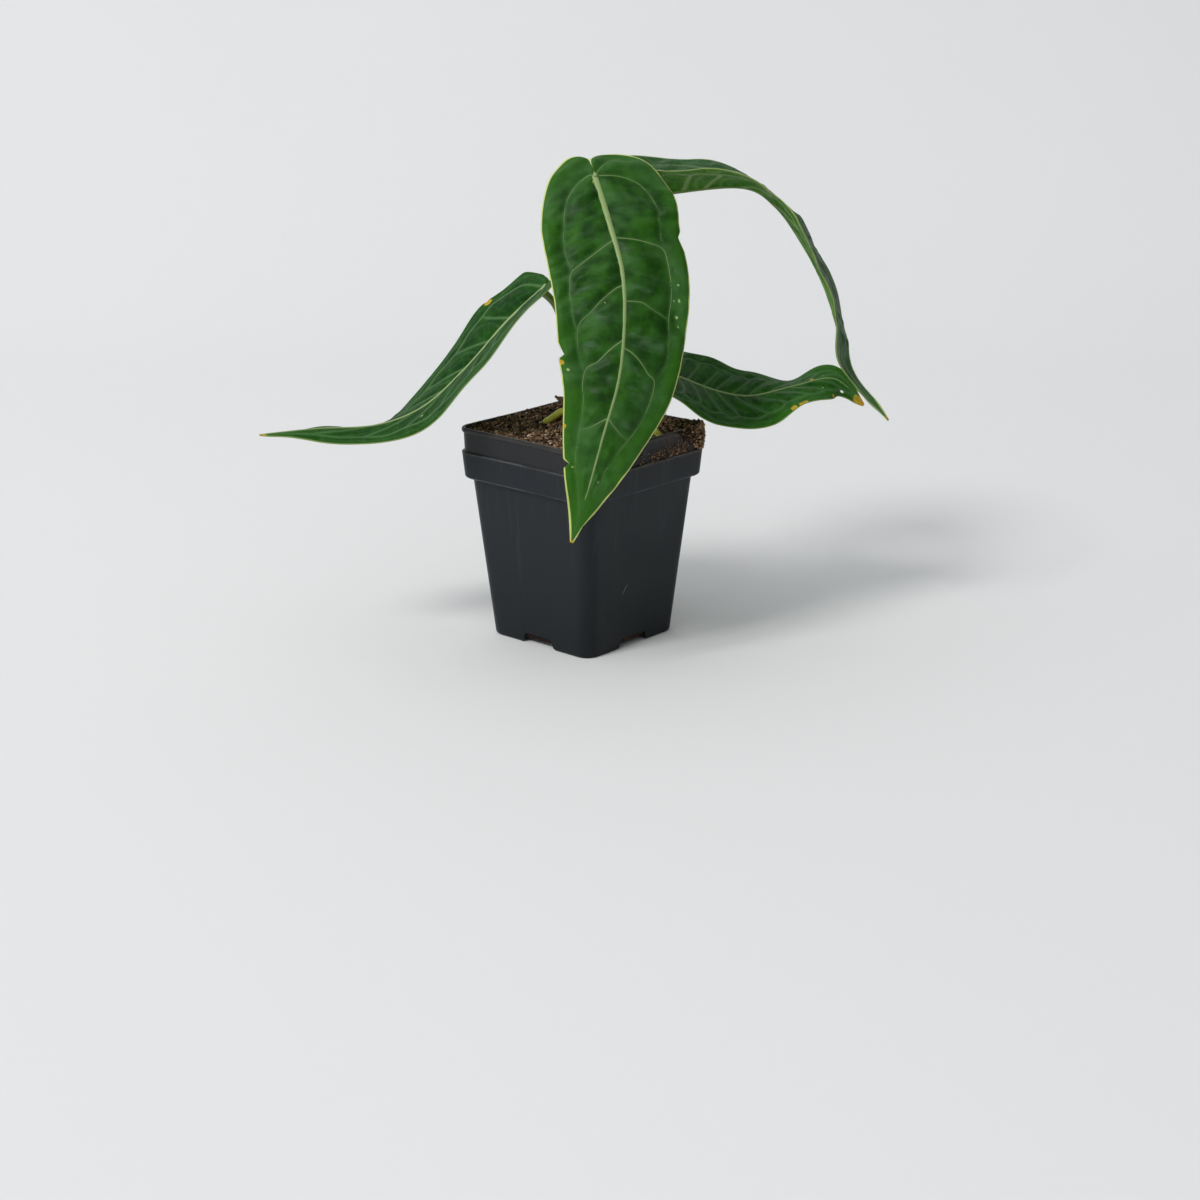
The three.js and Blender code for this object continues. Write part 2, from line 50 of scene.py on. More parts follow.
camera_data.lens = 71.71
camera_data.clip_start = 0.05
camera_data.clip_end = 20
camera = bpy.data.objects.new("camera", camera_data)
camera.location = (0, -1.2987, 0.4375)
camera.rotation_euler = (radians(90 - LOOK_DOWN), 0, radians(LOOK_ASIDE))
bpy.context.scene.collection.objects.link(camera)
bpy.context.scene.camera = camera
bpy.context.scene.view_settings.view_transform = "Standard"

# Studio.
# A pale sheet of paper is the floor and curves up behind the plant, under one large soft lamp from the upper
# left and the even light of a room that is brighter on the window's side.


def new_material(name, roughness=0.5, specular=0.5):
    material = bpy.data.materials.new(name)
    material.use_nodes = True
    shader = material.node_tree.nodes["Principled BSDF"]
    shader.inputs["Roughness"].default_value = roughness
    shader.inputs["Specular IOR Level"].default_value = specular
    return material, material.node_tree


def put(tree, kind, settings=(), **sockets):
    """A new node. A socket is given by name, or as n and its number, and takes a value or an output."""
    made = tree.nodes.new("ShaderNode" + kind)
    for key, value in settings:
        setattr(made, key, value)
    for key, value in sockets.items():
        place = int(key[1:]) if key[1:].isdigit() else key
        if isinstance(value, bpy.types.NodeSocket):
            tree.links.new(value, made.inputs[place])
        else:
            made.inputs[place].default_value = value
    return made


def object_place(tree):
    return put(tree, "TexCoord").outputs["Object"]


def axis_of(place, axis):
    return put(place.id_data, "SeparateXYZ", n0=place).outputs[axis]


def speckled(place, scale, detail=3.0, roughness=0.55):
    made = put(place.id_data, "TexNoise", Vector=place, Scale=scale, Detail=detail, Roughness=roughness)
    return made.outputs[0]


def worked(operation, first, second):
    return put(first.id_data, "Math", [("operation", operation)], n0=first, n1=second).outputs[0]


def measured(operation, first, second):
    """A number from two vectors, such as their dot product."""
    return put(first.id_data, "VectorMath", [("operation", operation)], n0=first, n1=second).outputs["Value"]


def stepped(value, low, high, start=0.0, end=1.0):
    """From start to end, smoothly, as value goes from low to high."""
    smoothly = [("interpolation_type", "SMOOTHSTEP")]
    return put(value.id_data, "MapRange", smoothly, n0=value, n1=low, n2=high, n3=start, n4=end).outputs[0]


def mixed(share, first, second):
    return put(share.id_data, "Mix", [("data_type", "RGBA")], n0=share, n6=first, n7=second).outputs[2]


def layered(colour, *coats):
    """The colour under coats: for each a value, its span, the coat's share at both ends, and its colour."""
    for value, low, high, start, end, coat in coats:
        colour = mixed(stepped(value, low, high, start, end), colour, coat)
    return colour


def finish(colour, bumps=None, roughness=None):
    """Joins the colour and what else is given to the shader."""
    tree = colour.id_data
    for socket, made in (("Base Color", colour), ("Normal", bumps), ("Roughness", roughness)):
        if made is not None:
            tree.links.new(made, tree.nodes["Principled BSDF"].inputs[socket])


def piece(name, bm, *materials):
    """The object for a finished mesh, smooth, with its materials."""
    mesh = bpy.data.meshes.new(name)
    bm.to_mesh(mesh)
    bm.free()
    for polygon in mesh.polygons:
        polygon.use_smooth = True
    for material in materials:
        mesh.materials.append(material)
    made = bpy.data.objects.new(name, mesh)
    bpy.context.scene.collection.objects.link(made)
    return made


def points_of(geometry):
    """The points among what an operator made."""
    return [g for g in geometry if isinstance(g, bmesh.types.BMVert)]


paper, tree = new_material("studio_paper", roughness=0.9, specular=0.2)
place = object_place(tree)
colour = mixed(speckled(place, 3.0, 2.0), (0.80, 0.805, 0.81, 1), (0.82, 0.825, 0.83, 1))
# The paper is painted darker towards the front: painted shade that evens out the lamp's stronger light on the
# near floor.
finish(layered(colour, (axis_of(place, "Y"), -0.7, 0.9, 1.0, 0.0, (0.75, 0.755, 0.76, 1))))

PAPER_HALF_WIDTH = 3.0
PAPER_FRONT = -1.9
PAPER_BACK = 1.6
PAPER_BEND = 0.9
PAPER_TOP = 3.2
bm = bmesh.new()
line = [(-PAPER_HALF_WIDTH, PAPER_FRONT, 0)]
for k in range(25):
    turn = radians(90 * k / 24)
    along = PAPER_BACK - PAPER_BEND + PAPER_BEND * sin(turn)
    line.append((-PAPER_HALF_WIDTH, along, PAPER_BEND - PAPER_BEND * cos(turn)))
line.append((-PAPER_HALF_WIDTH, PAPER_BACK, PAPER_TOP))
corners = [bm.verts.new(point) for point in line]
edges = [bm.edges.new(pair) for pair in zip(corners, corners[1:])]
far = points_of(bmesh.ops.extrude_edge_only(bm, edges=edges)["geom"])
bmesh.ops.translate(bm, verts=far, vec=(2 * PAPER_HALF_WIDTH, 0, 0))
bmesh.ops.recalc_face_normals(bm, faces=bm.faces)
backdrop = piece("backdrop", bm, paper)

LAMP_PLACE = Vector((-1.9, -2.1, 3.1))
LAMP_AIM = Vector((0, 0, 0.2))
lamp_data = bpy.data.lights.new("key", "AREA")
lamp_data.shape = "DISK"
lamp_data.size = 1.2
lamp_data.energy = 85
lamp_data.color = (1.0, 0.99, 0.975)
lamp = bpy.data.objects.new("key", lamp_data)
lamp.location = LAMP_PLACE
lamp.rotation_euler = (LAMP_AIM - LAMP_PLACE).to_track_quat("-Z", "Y").to_euler()
bpy.context.scene.collection.objects.link(lamp)

WINDOW_WAY = (-0.57, -0.23, 0.79)
room = bpy.data.worlds.new("room")
room.use_nodes = True
tree = room.node_tree
toward = measured("DOT_PRODUCT", put(tree, "TexCoord").outputs["Generated"], WINDOW_WAY)
background = tree.nodes["Background"]
background.inputs["Color"].default_value = (0.965, 0.985, 1.0, 1)
tree.links.new(stepped(toward, -0.05, 0.95, 0.14, 0.85), background.inputs["Strength"])
bpy.context.scene.world = room

# Pot.
# A thin nursery pot injection moulded in charcoal polypropylene: a tapered square body, a collar under a
# lip, a band and a beaded rim. Four drain notches are cut out of the foot, one in the middle of each side.
MM = 0.001
POT_TURN = radians(48)
POT_HALF = 50
FOOT_HALF = 37.5
POT_HEIGHT = 121
LIP_HEIGHT = 107
COLLAR_FOOT = 92
WALL = 1.4
CORNER_RADIUS = 8
BAND_BOW = 0.8
CORNER_STEPS = 10
SIDE_STEPS = 22


def outline_place(half, radius, distance):
    """The point on a rounded square, and its normal, at a distance from the middle of the right corner."""
    side = 2 * (half - radius)
    bend = pi / 2 * radius
    quarter = floor((distance + bend / 2) / (side + bend))
    rest = distance + bend / 2 - quarter * (side + bend)
    angle = min(rest, bend) / radius - pi / 4 if radius > 0 else pi / 4
    normal = Vector((cos(angle), sin(angle), 0))
    point = Vector(((half - radius) * sqrt(2), 0, 0)) + normal * radius
    point += Vector((-normal.y, normal.x, 0)) * max(rest - bend, 0)
    turn = Matrix.Rotation(POT_TURN - pi / 4 + quarter * pi / 2, 3, "Z")
    return turn @ point, turn @ normal


def square_ring(half, radius, height, bow):
    """Points round a rounded square, whose sides bow inwards by so much at their middles."""
    side = 2 * (half - radius)
    bend = pi / 2 * radius
    ring = []
    for quarter in range(4):
        start = quarter * (side + bend) - bend / 2
        for k in range(CORNER_STEPS):
            ring.append(outline_place(half, radius, start + bend * k / CORNER_STEPS)[0])
        for k in range(SIDE_STEPS):
            share = k / SIDE_STEPS
            point, normal = outline_place(half, radius, start + bend + side * share)
            ring.append(point - normal * bow * sin(pi * share) ** 2)
    for point in ring:
        point.z = height
    return ring


def wall_rings(profile, radius):
    """Rings at each half-width and height of a wall, which bows inwards towards the band."""
    rings = []
    for half, height in profile:
        bow = BAND_BOW * min(1, max(0, (height - COLLAR_FOOT + 30) / 50)) ** 2
        rings.append(square_ring(half, radius, height, bow))
    return rings


def curved(start, pull, end, shares=(0.0, 0.33, 0.67, 1.0)):
    """Points on the bend from start to end that is drawn towards pull."""
    start, pull, end = Vector(start), Vector(pull), Vector(end)
    return [(1 - t) ** 2 * start + 2 * t * (1 - t) * pull + t * t * end for t in shares]


def softened(profile, reach):
    """The profile with each corner turned into a small curve that starts so far from it."""
    points = [Vector(p) for p in profile]
    made = [points[0]]
    for before, corner, after in zip(points, points[1:], points[2:]):
        back = min(reach, (before - corner).length * 0.45)
        on = min(reach, (after - corner).length * 0.45)
        start = corner + (before - corner).normalized() * back
        made += curved(start, corner, corner + (after - corner).normalized() * on)
    made.append(points[-1])
    return made


def tower(rings):
    """A solid through rings of points, in millimetres: each is the last one extruded and put in place."""
    bm = bmesh.new()
    number = bm.verts.layers.int.new("number")
    step = bm.verts.layers.int.new("step")
    first = [bm.verts.new(point * MM) for point in rings[0]]
    for k, vert in enumerate(first):
        vert[number] = k
    edges = [bm.edges.new((first[k], first[(k + 1) % len(first)])) for k in range(len(first))]
    ends = [list(edges)]
    for turn, ring in enumerate(rings[1:], 1):
        made = bmesh.ops.extrude_edge_only(bm, edges=edges)["geom"]
        fresh = set(points_of(made))
        edges = [g for g in made if isinstance(g, bmesh.types.BMEdge) and set(g.verts) <= fresh]
        for vert in fresh:
            vert.co = ring[vert[number]] * MM
            vert[step] = turn
    for end in ends + [edges]:
        bmesh.ops.contextual_create(bm, geom=end)
    bmesh.ops.recalc_face_normals(bm, faces=bm.faces)
    return bm


POT_OUTSIDE = [
    (FOOT_HALF - 1, 0), (FOOT_HALF, 1), (45.6, COLLAR_FOOT - 0.5), (48, COLLAR_FOOT),
    (48.9, COLLAR_FOOT + 0.9), (49.9, LIP_HEIGHT - 1), (50.1, LIP_HEIGHT), (49.7, LIP_HEIGHT + 0.6),
    (48.9, LIP_HEIGHT + 0.8), (49.2, POT_HEIGHT - 2.7), (49.9, POT_HEIGHT - 2.4),
    (50, POT_HEIGHT - 0.6), (49.5, POT_HEIGHT),
]
POT_INSIDE = [
    (POT_HALF - WALL, POT_HEIGHT), (POT_HALF - WALL - 0.4, POT_HEIGHT - 0.5), (46.8, COLLAR_FOOT + 2),
    (44.2, COLLAR_FOOT - 0.8), (36.1, 3), (35.1, 2),
]
INSIDE_RADIUS = CORNER_RADIUS - WALL
outside = wall_rings(softened(POT_OUTSIDE, 0.5), CORNER_RADIUS)
inside = wall_rings(softened(POT_INSIDE, 0.3), INSIDE_RADIUS)


def stretched(place, scale, turn=0.0):
    return put(place.id_data, "Mapping", Vector=place, Rotation=(0, 0, turn), Scale=scale).outputs[0]


def times(first, *others):
    for other in others:
        first = worked("MULTIPLY", first, other)
    return first


def between(value, rise, full, fall, gone):
    """1 from full to fall, and less and less on both sides, down to 0 at rise and at gone."""
    return times(stepped(value, rise, full), stepped(value, fall, gone, 1.0, 0.0))


def raised(height, strength, distance, under=None):
    """Bumps of a height, over those given as under."""
    made = put(height.id_data, "Bump", Height=height, Strength=strength, Distance=distance)
    if under is not None:
        height.id_data.links.new(under, made.inputs["Normal"])
    return made.outputs[0]


DUST_SIDE = radians(-20)
SCRATCH_PLACE = (0.0234, -0.0348, 0.0356)
charcoal, tree = new_material("charcoal_polypropylene", specular=0.17)
place = object_place(tree)
height = axis_of(place, "Z")
cloud = speckled(place, 38.0, 4.0)
fine = speckled(place, 1400.0, 2.0)
flow = speckled(stretched(place, (240, 240, 14)), 1.0)
plastic = layered(
    mixed(cloud, (0.0105, 0.014, 0.0175, 1), (0.017, 0.0215, 0.0265, 1)),
    (flow, 0.55, 0.75, 0.0, 0.35, (0.036, 0.041, 0.047, 1)),
    # Painted shade: the plastic is darker towards the foot.
    (height, 0.0, 0.075, 0.75, 0.0, (0.0065, 0.0098, 0.0115, 1)),
    # Painted sheen: above the lip the band and rim are a lighter grey.
    (height, 0.1072, 0.1078, 0.0, 0.6, (0.024, 0.023, 0.024, 1)),
)
rim_dust = times(stepped(height, 0.1065, 0.1205), stepped(cloud, 0.42, 0.62))
lip_dust = between(height, 0.105, 0.1068, 0.1075, 0.1095)
toward = measured("DOT_PRODUCT", place, (cos(DUST_SIDE), sin(DUST_SIDE), 0))
by_corner = stepped(toward, 0.028, 0.062)
grit = stepped(speckled(place, 620.0, 3.0, 0.7), 0.46, 0.60)
dust = times(worked("MAXIMUM", rim_dust, lip_dust), worked("ADD", by_corner, 0.16), grit)
plastic = mixed(dust, plastic, (0.13, 0.085, 0.052, 1))
bead = times(stepped(height, 0.1183, 0.1189), stepped(cloud, 0.3, 0.6, 0.25, 0.6))
plastic = mixed(bead, plastic, (0.062, 0.058, 0.054, 1))
# Painted highlights: thin lighter lines along the edge of the lip and the foot of the collar.
lip_edge = between(height, 0.1061, 0.1068, 0.1071, 0.1077)
collar_edge = between(height, 0.0918, 0.0923, 0.0927, 0.0934)
painted_edge_highlight = times(worked("MAXIMUM", lip_edge, collar_edge), stepped(cloud, 0.35, 0.65, 0.15, 0.75))
plastic = mixed(painted_edge_highlight, plastic, (0.085, 0.098, 0.108, 1))
from_scratch = put(tree, "VectorMath", [("operation", "SUBTRACT")], n0=place, n1=SCRATCH_PLACE).outputs[0]
beside = worked("ABSOLUTE", measured("DOT_PRODUCT", from_scratch, (-0.56, -0.62, 0.55)), 0.0)
scratch = stepped(beside, 0.0001, 0.0004, 0.75, 0.0)
scratch = times(scratch, stepped(measured("DISTANCE", place, SCRATCH_PLACE), 0.0015, 0.0042, 1.0, 0.0))
plastic = mixed(scratch, plastic, (0.17, 0.18, 0.185, 1))
gloss = worked("ADD", stepped(cloud, 0.3, 0.7, 0.36, 0.5), times(dust, 0.4))
finish(plastic, raised(flow, 0.08, 0.0004, raised(fine, 0.12, 0.0002)), gloss)

pot = piece("nursery_pot", tower(outside + inside), charcoal)

NOTCH_HALF = 11.2
NOTCH_HEIGHT = 6
NOTCH_FLARE = 3.5
NOTCH_REACH = 8
NOTCH_SHARES = [k / 6 for k in range(7)]
half_notch = [Vector((-NOTCH_HALF - NOTCH_FLARE, -1))]
waist = (-NOTCH_HALF + 0.2, NOTCH_HEIGHT / 2)
half_notch += curved((-NOTCH_HALF - NOTCH_FLARE, 0), (-NOTCH_HALF, 0), waist, NOTCH_SHARES)
half_notch += curved(
    waist, (-NOTCH_HALF + 0.5, NOTCH_HEIGHT), (-NOTCH_HALF + NOTCH_FLARE, NOTCH_HEIGHT), NOTCH_SHARES
)[1:]
whole_notch = half_notch + [Vector((-p.x, p.y)) for p in reversed(half_notch)]
bm = bmesh.new()
for side in range(4):
    turn = Matrix.Rotation(POT_TURN + side * pi / 2, 4, "Z")
    spots = [turn @ Vector((p.x, -FOOT_HALF - NOTCH_REACH, p.y)) * MM for p in whole_notch]
    face = bm.faces.new([bm.verts.new(spot) for spot in spots])
    moved = points_of(bmesh.ops.extrude_face_region(bm, geom=[face])["geom"])
    bmesh.ops.translate(bm, verts=moved, vec=turn @ Vector((0, 2 * NOTCH_REACH * MM, 0)))
bmesh.ops.recalc_face_normals(bm, faces=bm.faces)
cutter = piece("notch_cutter", bm)
cut = pot.modifiers.new("notches", "BOOLEAN")
cut.operation = "DIFFERENCE"
cut.object = cutter
cut.solver = "EXACT"
graph = bpy.context.evaluated_depsgraph_get()
whole = pot.data
pot.data = bpy.data.meshes.new_from_object(pot.evaluated_get(graph))
pot.data.name = "nursery_pot"
pot.modifiers.clear()
bpy.data.meshes.remove(whole)
bpy.data.objects.remove(cutter)
pot.data.set_sharp_from_angle(angle=radians(38))
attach(pot, "root")
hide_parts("pot")

# Potting mix.
# Damp peat with bark crumbs, fibres and a little perlite, filled to just under the rim and heaped towards
# the right corner, where it has gone over the rim and clings to the band.
MIX_HEIGHT = 119.1
MIX_FOOT = [(34.7, 2.4), (35.7, 3), (43.8, 90.8), (46.4, 93.8), (47.5, 116)]
MIX_HALF = 47.6
MIX_RINGS = 46
MIX_EDGE_DROP = 0.9
CORNER_WAY = Vector((cos(POT_TURN - pi / 4), sin(POT_TURN - pi / 4), 0))
STEM_PLACE = Vector((0, 5, 0))


def rough(spot, octaves=3, roughness=0.8):
    """Rough natural relief at a spot, up to about 1 both ways."""
    return noise.fractal(Vector(spot), roughness, 2.1, octaves)


def mix_height(x, y):
    toward_corner = max(0, (x * CORNER_WAY.x + y * CORNER_WAY.y) / (POT_HALF * sqrt(2)))
    heap = 2.6 * exp(-((x - STEM_PLACE.x) ** 2 + (y - STEM_PLACE.y) ** 2) / 160)
    heap += 6.5 * exp(-((x + 9) ** 2 + (y - 16) ** 2) / 45)
    by_back_wall = 1.5 * max(0, (y * cos(POT_TURN) - x * sin(POT_TURN)) / POT_HALF) ** 3
    lumps = 1.3 * rough(Vector((x, y, 3)) * 0.11, 4)
    return MIX_HEIGHT + 2.6 * toward_corner ** 3 + by_back_wall + heap + lumps


rings = wall_rings(MIX_FOOT, INSIDE_RADIUS)
for k in range(MIX_RINGS):
    share = 1 - k / MIX_RINGS
    ring = square_ring(MIX_HALF * share, INSIDE_RADIUS * share, 0, BAND_BOW * share)
    for point in ring:
        point.z = mix_height(point.x, point.y) - (MIX_EDGE_DROP if k == 0 else 0)
    rings.append(ring)


def attribute(tree, name, kind="Fac"):
    return put(tree, "Attribute", [("attribute_name", name)]).outputs[kind]


def peat_material(name, dark, light, roughness=0.95):
    """A rough crumb finish. The tone attribute says how light each crumb is."""
    material, tree = new_material(name, roughness, specular=0.25)
    place = object_place(tree)
    grain = speckled(place, 900.0, 4.0, 0.7)
    colour = layered(
        mixed(attribute(tree, "tone"), dark, light),
        (grain, 0.3, 0.55, 0.6, 0.0, (0.014, 0.008, 0.005, 1)),
        (speckled(place, 90.0), 0.5, 0.7, 0.0, 0.25, (0.19, 0.13, 0.085, 1)),
    )
    finish(colour, raised(grain, 0.7, 0.0008))
    return material


peat = peat_material("damp_peat", (0.024, 0.012, 0.007, 1), (0.62, 0.375, 0.215, 1))
mix_bed = piece("mix_bed", tower(rings), peat)
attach(mix_bed, "root")
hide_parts("potting_mix")

# Spilled crust: the strip of mix that hangs over the rim on both sides of the right corner.
SPILL_START = -26
SPILL_END = 9
SPILL_FULLNESS = [0.0, 0.35, 0.75, 1, 0.95, 0.3]


def smooth(values, t):
    """The smooth value at t, from 0 to 1, of a list of values that are evenly spaced."""
    place = min(max(t, 0), 1) * (len(values) - 1)
    i = min(int(place), len(values) - 2)
    w = place - i
    b, c = values[i], values[i + 1]
    a = values[i - 1] if i > 0 else 2 * b - c
    d = values[i + 2] if i + 2 < len(values) else 2 * c - b
    leave, arrive = (c - a) / 2, (d - b) / 2
    return b + leave * w + (3 * (c - b) - 2 * leave - arrive) * w**2 + (2 * (b - c) + leave + arrive) * w**3


def smooth_point(points, t):
    return [smooth(values, t) for values in zip(*points)]


def spill_place(t, s):
    """A point of the crust, t along the rim and s from its top edge inside the rim to its foot outside."""
    distance = SPILL_START + (SPILL_END - SPILL_START) * t
    point, normal = outline_place(POT_HALF, CORNER_RADIUS, distance)
    full = max(0.0, smooth(SPILL_FULLNESS, t))
    ragged = 1.6 * rough((distance * 0.25, 7, 0))
    foot = POT_HEIGHT - 1 - full * (POT_HEIGHT - LIP_HEIGHT - 2.2) + ragged
    crest = POT_HEIGHT - 0.2 + full * 0.7
    section = [(-5, crest - 2), (-2.2, crest - 0.4), (-0.8, crest), (0.1, crest - 0.8)]
    section += [(0.25 + 0.45 * full, (foot + crest) / 2), (0.1 + 0.3 * full, foot + 0.6), (-1.1, foot - 0.4)]
    outward, height = smooth_point(section, s)
    lumps = 0.4 * rough((distance * 0.5, height * 0.5, 1), 4, 0.7)
    outward += lumps * min(1, 4 * s * (1 - s) + 0.2)
    return point + normal * outward + Vector((0, 0, height)), normal


bm = bmesh.new()
bmesh.ops.create_grid(bm, x_segments=120, y_segments=22, size=1)
for vert in bm.verts:
    vert.co = spill_place((vert.co.x + 1) / 2, (vert.co.y + 1) / 2)[0] * MM
bmesh.ops.recalc_face_normals(bm, faces=bm.faces)
spill_crust = piece("spilled_crust", bm, peat)
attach(spill_crust, "root")

# Crumbs, bark chips, fibres and perlite: small faceted lumps and strands that lie on the bed and the crust,
# and that have stuck to the band.
BED_ROUND = 7
draw = random.Random(11)


def bed_place(inset=1.5):
    """A random point on the bed, in millimetres."""
    limit = POT_HALF - WALL - inset
    while True:
        x, y = draw.uniform(-POT_HALF, POT_HALF), draw.uniform(-POT_HALF, POT_HALF)
        over_x, over_y = [max(0, abs(way) - limit + BED_ROUND) for way in (x, y)]
        if hypot(over_x, over_y) < BED_ROUND:
            spot = Matrix.Rotation(POT_TURN, 3, "Z") @ Vector((x, y, 0))
            return Vector((spot.x, spot.y, mix_height(spot.x, spot.y)))


def crust_place():
    """A random point on the outside of the crust, in millimetres."""
    t = min(max(draw.gauss(0.72, 0.2), 0.02), 0.98)
    point, normal = spill_place(t, draw.uniform(0.25, 0.93))
    return point + normal * 0.1


def band_place():
    """A random point low on the band beside the crust, where stray crumbs have stuck, in millimetres."""
    distance = -14 - abs(draw.gauss(0, 22))
    point, normal = outline_place(POT_HALF - 0.9, CORNER_RADIUS, max(distance, -62))
    height = LIP_HEIGHT + 0.8 + abs(draw.gauss(0, 3.2))
    return point + Vector((0, 0, min(height, POT_HEIGHT)))


def any_turn():
    turn = Matrix.Identity(4)
    for axis in "ZXY":
        turn = turn @ Matrix.Rotation(draw.uniform(0, tau), 4, axis)
    return turn


def join(whole, part):
    """Adds a part's mesh to the whole's."""
    mesh = bpy.data.meshes.new("part")
    part.to_mesh(mesh)
    part.free()
    whole.from_mesh(mesh)
    bpy.data.meshes.remove(mesh)


def scattered(count, batch, make_one, *kind):
    """Many small things in one mesh, made a batch at a time."""
    whole = bmesh.new()
    whole.verts.layers.float.new("tone")
    for start in range(0, count, batch):
        part = bmesh.new()
        part.verts.layers.float.new("tone")
        for _ in range(min(batch, count - start)):
            make_one(part, *kind)
        join(whole, part)
    return whole


def lump(bm, spot, size, flat, tone, detail=1):
    shape = Matrix.Diagonal((draw.uniform(0.8, 1.5), draw.uniform(0.6, 1.0), flat, 1))
    stand = Matrix.Translation(spot * MM) @ any_turn() @ shape
    made = bmesh.ops.create_icosphere(bm, subdivisions=detail, radius=size * MM, matrix=stand)["verts"]
    shade = bm.verts.layers.float["tone"]
    for vert in made:
        vert[shade] = tone
        vert.co += Vector([draw.uniform(-1, 1) for _ in range(3)]) * size * 0.22 * MM


def crumb(bm, place, largest, usual, spread, tone, contrast):
    """A crumb of a random size. On the bed it is sunk or heaped by a share of that size."""
    size = min(largest, usual * exp(draw.gauss(0, spread)))
    spot = place()
    if place is bed_place:
        spot.z += size * draw.uniform(-0.2, 0.9)
    lump(bm, spot, size, draw.uniform(0.4, 0.9), min(1, max(0, draw.gauss(tone, contrast))))


def bark_chip(bm):
    size = draw.uniform(1.3, 2.6)
    spot = bed_place(4)
    spot.z += size * 0.1
    lump(bm, spot, size, draw.uniform(0.25, 0.45), draw.uniform(0.2, 0.9), detail=2)


def fibre(bm):
    """A bent three-sided strand."""
    spot = bed_place(3)
    spot.z += draw.uniform(0.2, 0.8)
    length, radius, tone = draw.uniform(2.5, 8), draw.uniform(0.1, 0.22), draw.uniform(0.1, 1)
    shade = bm.verts.layers.float["tone"]
    heading = Matrix.Rotation(draw.uniform(0, tau), 3, "Z") @ Vector((1, 0, draw.uniform(-0.1, 0.25)))
    made = bmesh.ops.create_circle(bm, cap_ends=True, segments=3, radius=radius * MM)["verts"]
    turn = heading.to_track_quat("Z", "Y").to_matrix().to_4x4()
    for vert in made:
        vert.co = turn @ vert.co + spot * MM
        vert[shade] = tone
    face = [f for f in bm.faces if f.verts[0] in made][0]
    for _ in range(4):
        step = bmesh.ops.extrude_face_region(bm, geom=[face])["geom"]
        bmesh.ops.delete(bm, geom=[face], context="FACES_ONLY")
        fresh = points_of(step)
        face = [g for g in step if isinstance(g, bmesh.types.BMFace)][0]
        heading += Vector((draw.uniform(-0.4, 0.4), draw.uniform(-0.4, 0.4), draw.uniform(-0.25, 0.12)))
        bmesh.ops.translate(bm, verts=fresh, vec=heading.normalized() * length / 4 * MM)
        for vert in fresh:
            vert[shade] = tone


def perlite_bead(bm):
    spot = bed_place(4)
    spot.z += 0.4
    lump(bm, spot, draw.uniform(0.25, 0.7), 0.8, 1.0, detail=2)


bark = peat_material("bark", (0.05, 0.027, 0.015, 1), (0.27, 0.18, 0.105, 1), roughness=0.85)
perlite, tree = new_material("perlite", roughness=0.85, specular=0.3)
pits = speckled(object_place(tree), 1500.0)
finish(mixed(pits, (0.55, 0.53, 0.49, 1), (0.86, 0.85, 0.82, 1)), raised(pits, 0.6, 0.0005))

# Material, count, how many in a batch, and what makes one. Crumbs also have their place, largest and usual
# size, the spread of sizes, tone and contrast.
LITTER = {
    "loose_crumbs": (peat, 6500, 60, crumb, bed_place, 1.7, 0.5, 0.45, 0.4, 0.4),
    "clinging_crumbs": (peat, 900, 60, crumb, crust_place, 1.1, 0.42, 0.45, 0.5, 0.34),
    "band_crumbs": (peat, 420, 60, crumb, band_place, 0.8, 0.27, 0.4, 0.4, 0.3),
    "bark_chips": (bark, 170, 60, bark_chip),
    "fibres": (bark, 420, 20, fibre),
    "perlite_beads": (perlite, 70, 60, perlite_bead),
}
for name, (material, *kind) in LITTER.items():
    loose = piece(name, scattered(*kind), material)
    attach(loose, "root")

# Stem.
# The short green-brown crown of the plant, ringed by the scars of old leaves. It stands in the mix.
STEM_RADII = [4, 6.2, 6.7, 6, 6.9, 6.1, 6.7, 5.2, 2.6]
STEM_FOOT = 98
STEM_TOP = 135

crown_skin, tree = new_material("crown_skin", roughness=0.62, specular=0.35)
place = object_place(tree)
banded = [("bands_direction", "Z")]
scars = put(tree, "TexWave", banded, Vector=place, Scale=75.0, Distortion=4.0, Detail=3.0).outputs["Fac"]
colour = mixed(speckled(place, 160.0, 4.0), (0.10, 0.115, 0.03, 1), (0.17, 0.20, 0.06, 1))
colour = layered(colour, (scars, 0.6, 0.95, 0.0, 0.75, (0.075, 0.045, 0.022, 1)))
finish(colour, raised(scars, 0.5, 0.0012))


def stations_along(points, facing, steps, reach):
    """A smooth line in small steps: point, along, across, out of its face, and the way travelled to there."""
    out = Vector(facing)
    stations = []
    travelled = 0
    for k in range(steps + 1):
        t = k / steps
        point, ahead, behind = [
            Vector(smooth_point(points, place)) for place in (t, min(1, t + reach), max(0, t - reach))
        ]
        along = (ahead - behind).normalized()
        out = (out - along * out.dot(along)).normalized()
        if stations:
            travelled += (point - stations[-1][0]).length
        stations.append((point, along, out.cross(along), out, travelled))
    return stations


def stalk(points, radii, sides, steps, wrinkle, facing=(1, 0.2, 0)):
    """A round stalk along a smooth line through points, its radius read along it and changed by wrinkle."""
    rings = []
    for k, (middle, _, across, out, travelled) in enumerate(stations_along(points, facing, steps, 0.01)):
        ring = []
        for n in range(sides):
            angle = tau * n / sides
            radius = smooth(radii, k / steps) + wrinkle(travelled, angle)
            ring.append(middle + (out * cos(angle) - across * sin(angle)) * radius)
        rings.append(ring)
    return tower(rings)


def stem_rings(travelled, angle):
    height = STEM_FOOT + travelled
    knobs = 0.5 * rough((cos(angle) * 1.5, sin(angle) * 1.5, height * 0.22))
    return knobs + 0.3 * sin(height * 1.7 + 0.8 * cos(angle))


middle = [(STEM_PLACE.x, STEM_PLACE.y, height) for height in (STEM_FOOT, STEM_TOP)]
crown = piece("crown", stalk(middle, STEM_RADII, 40, 70, stem_rings, facing=(1, 0, 0)), crown_skin)
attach(crown, "root")
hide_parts("stem")

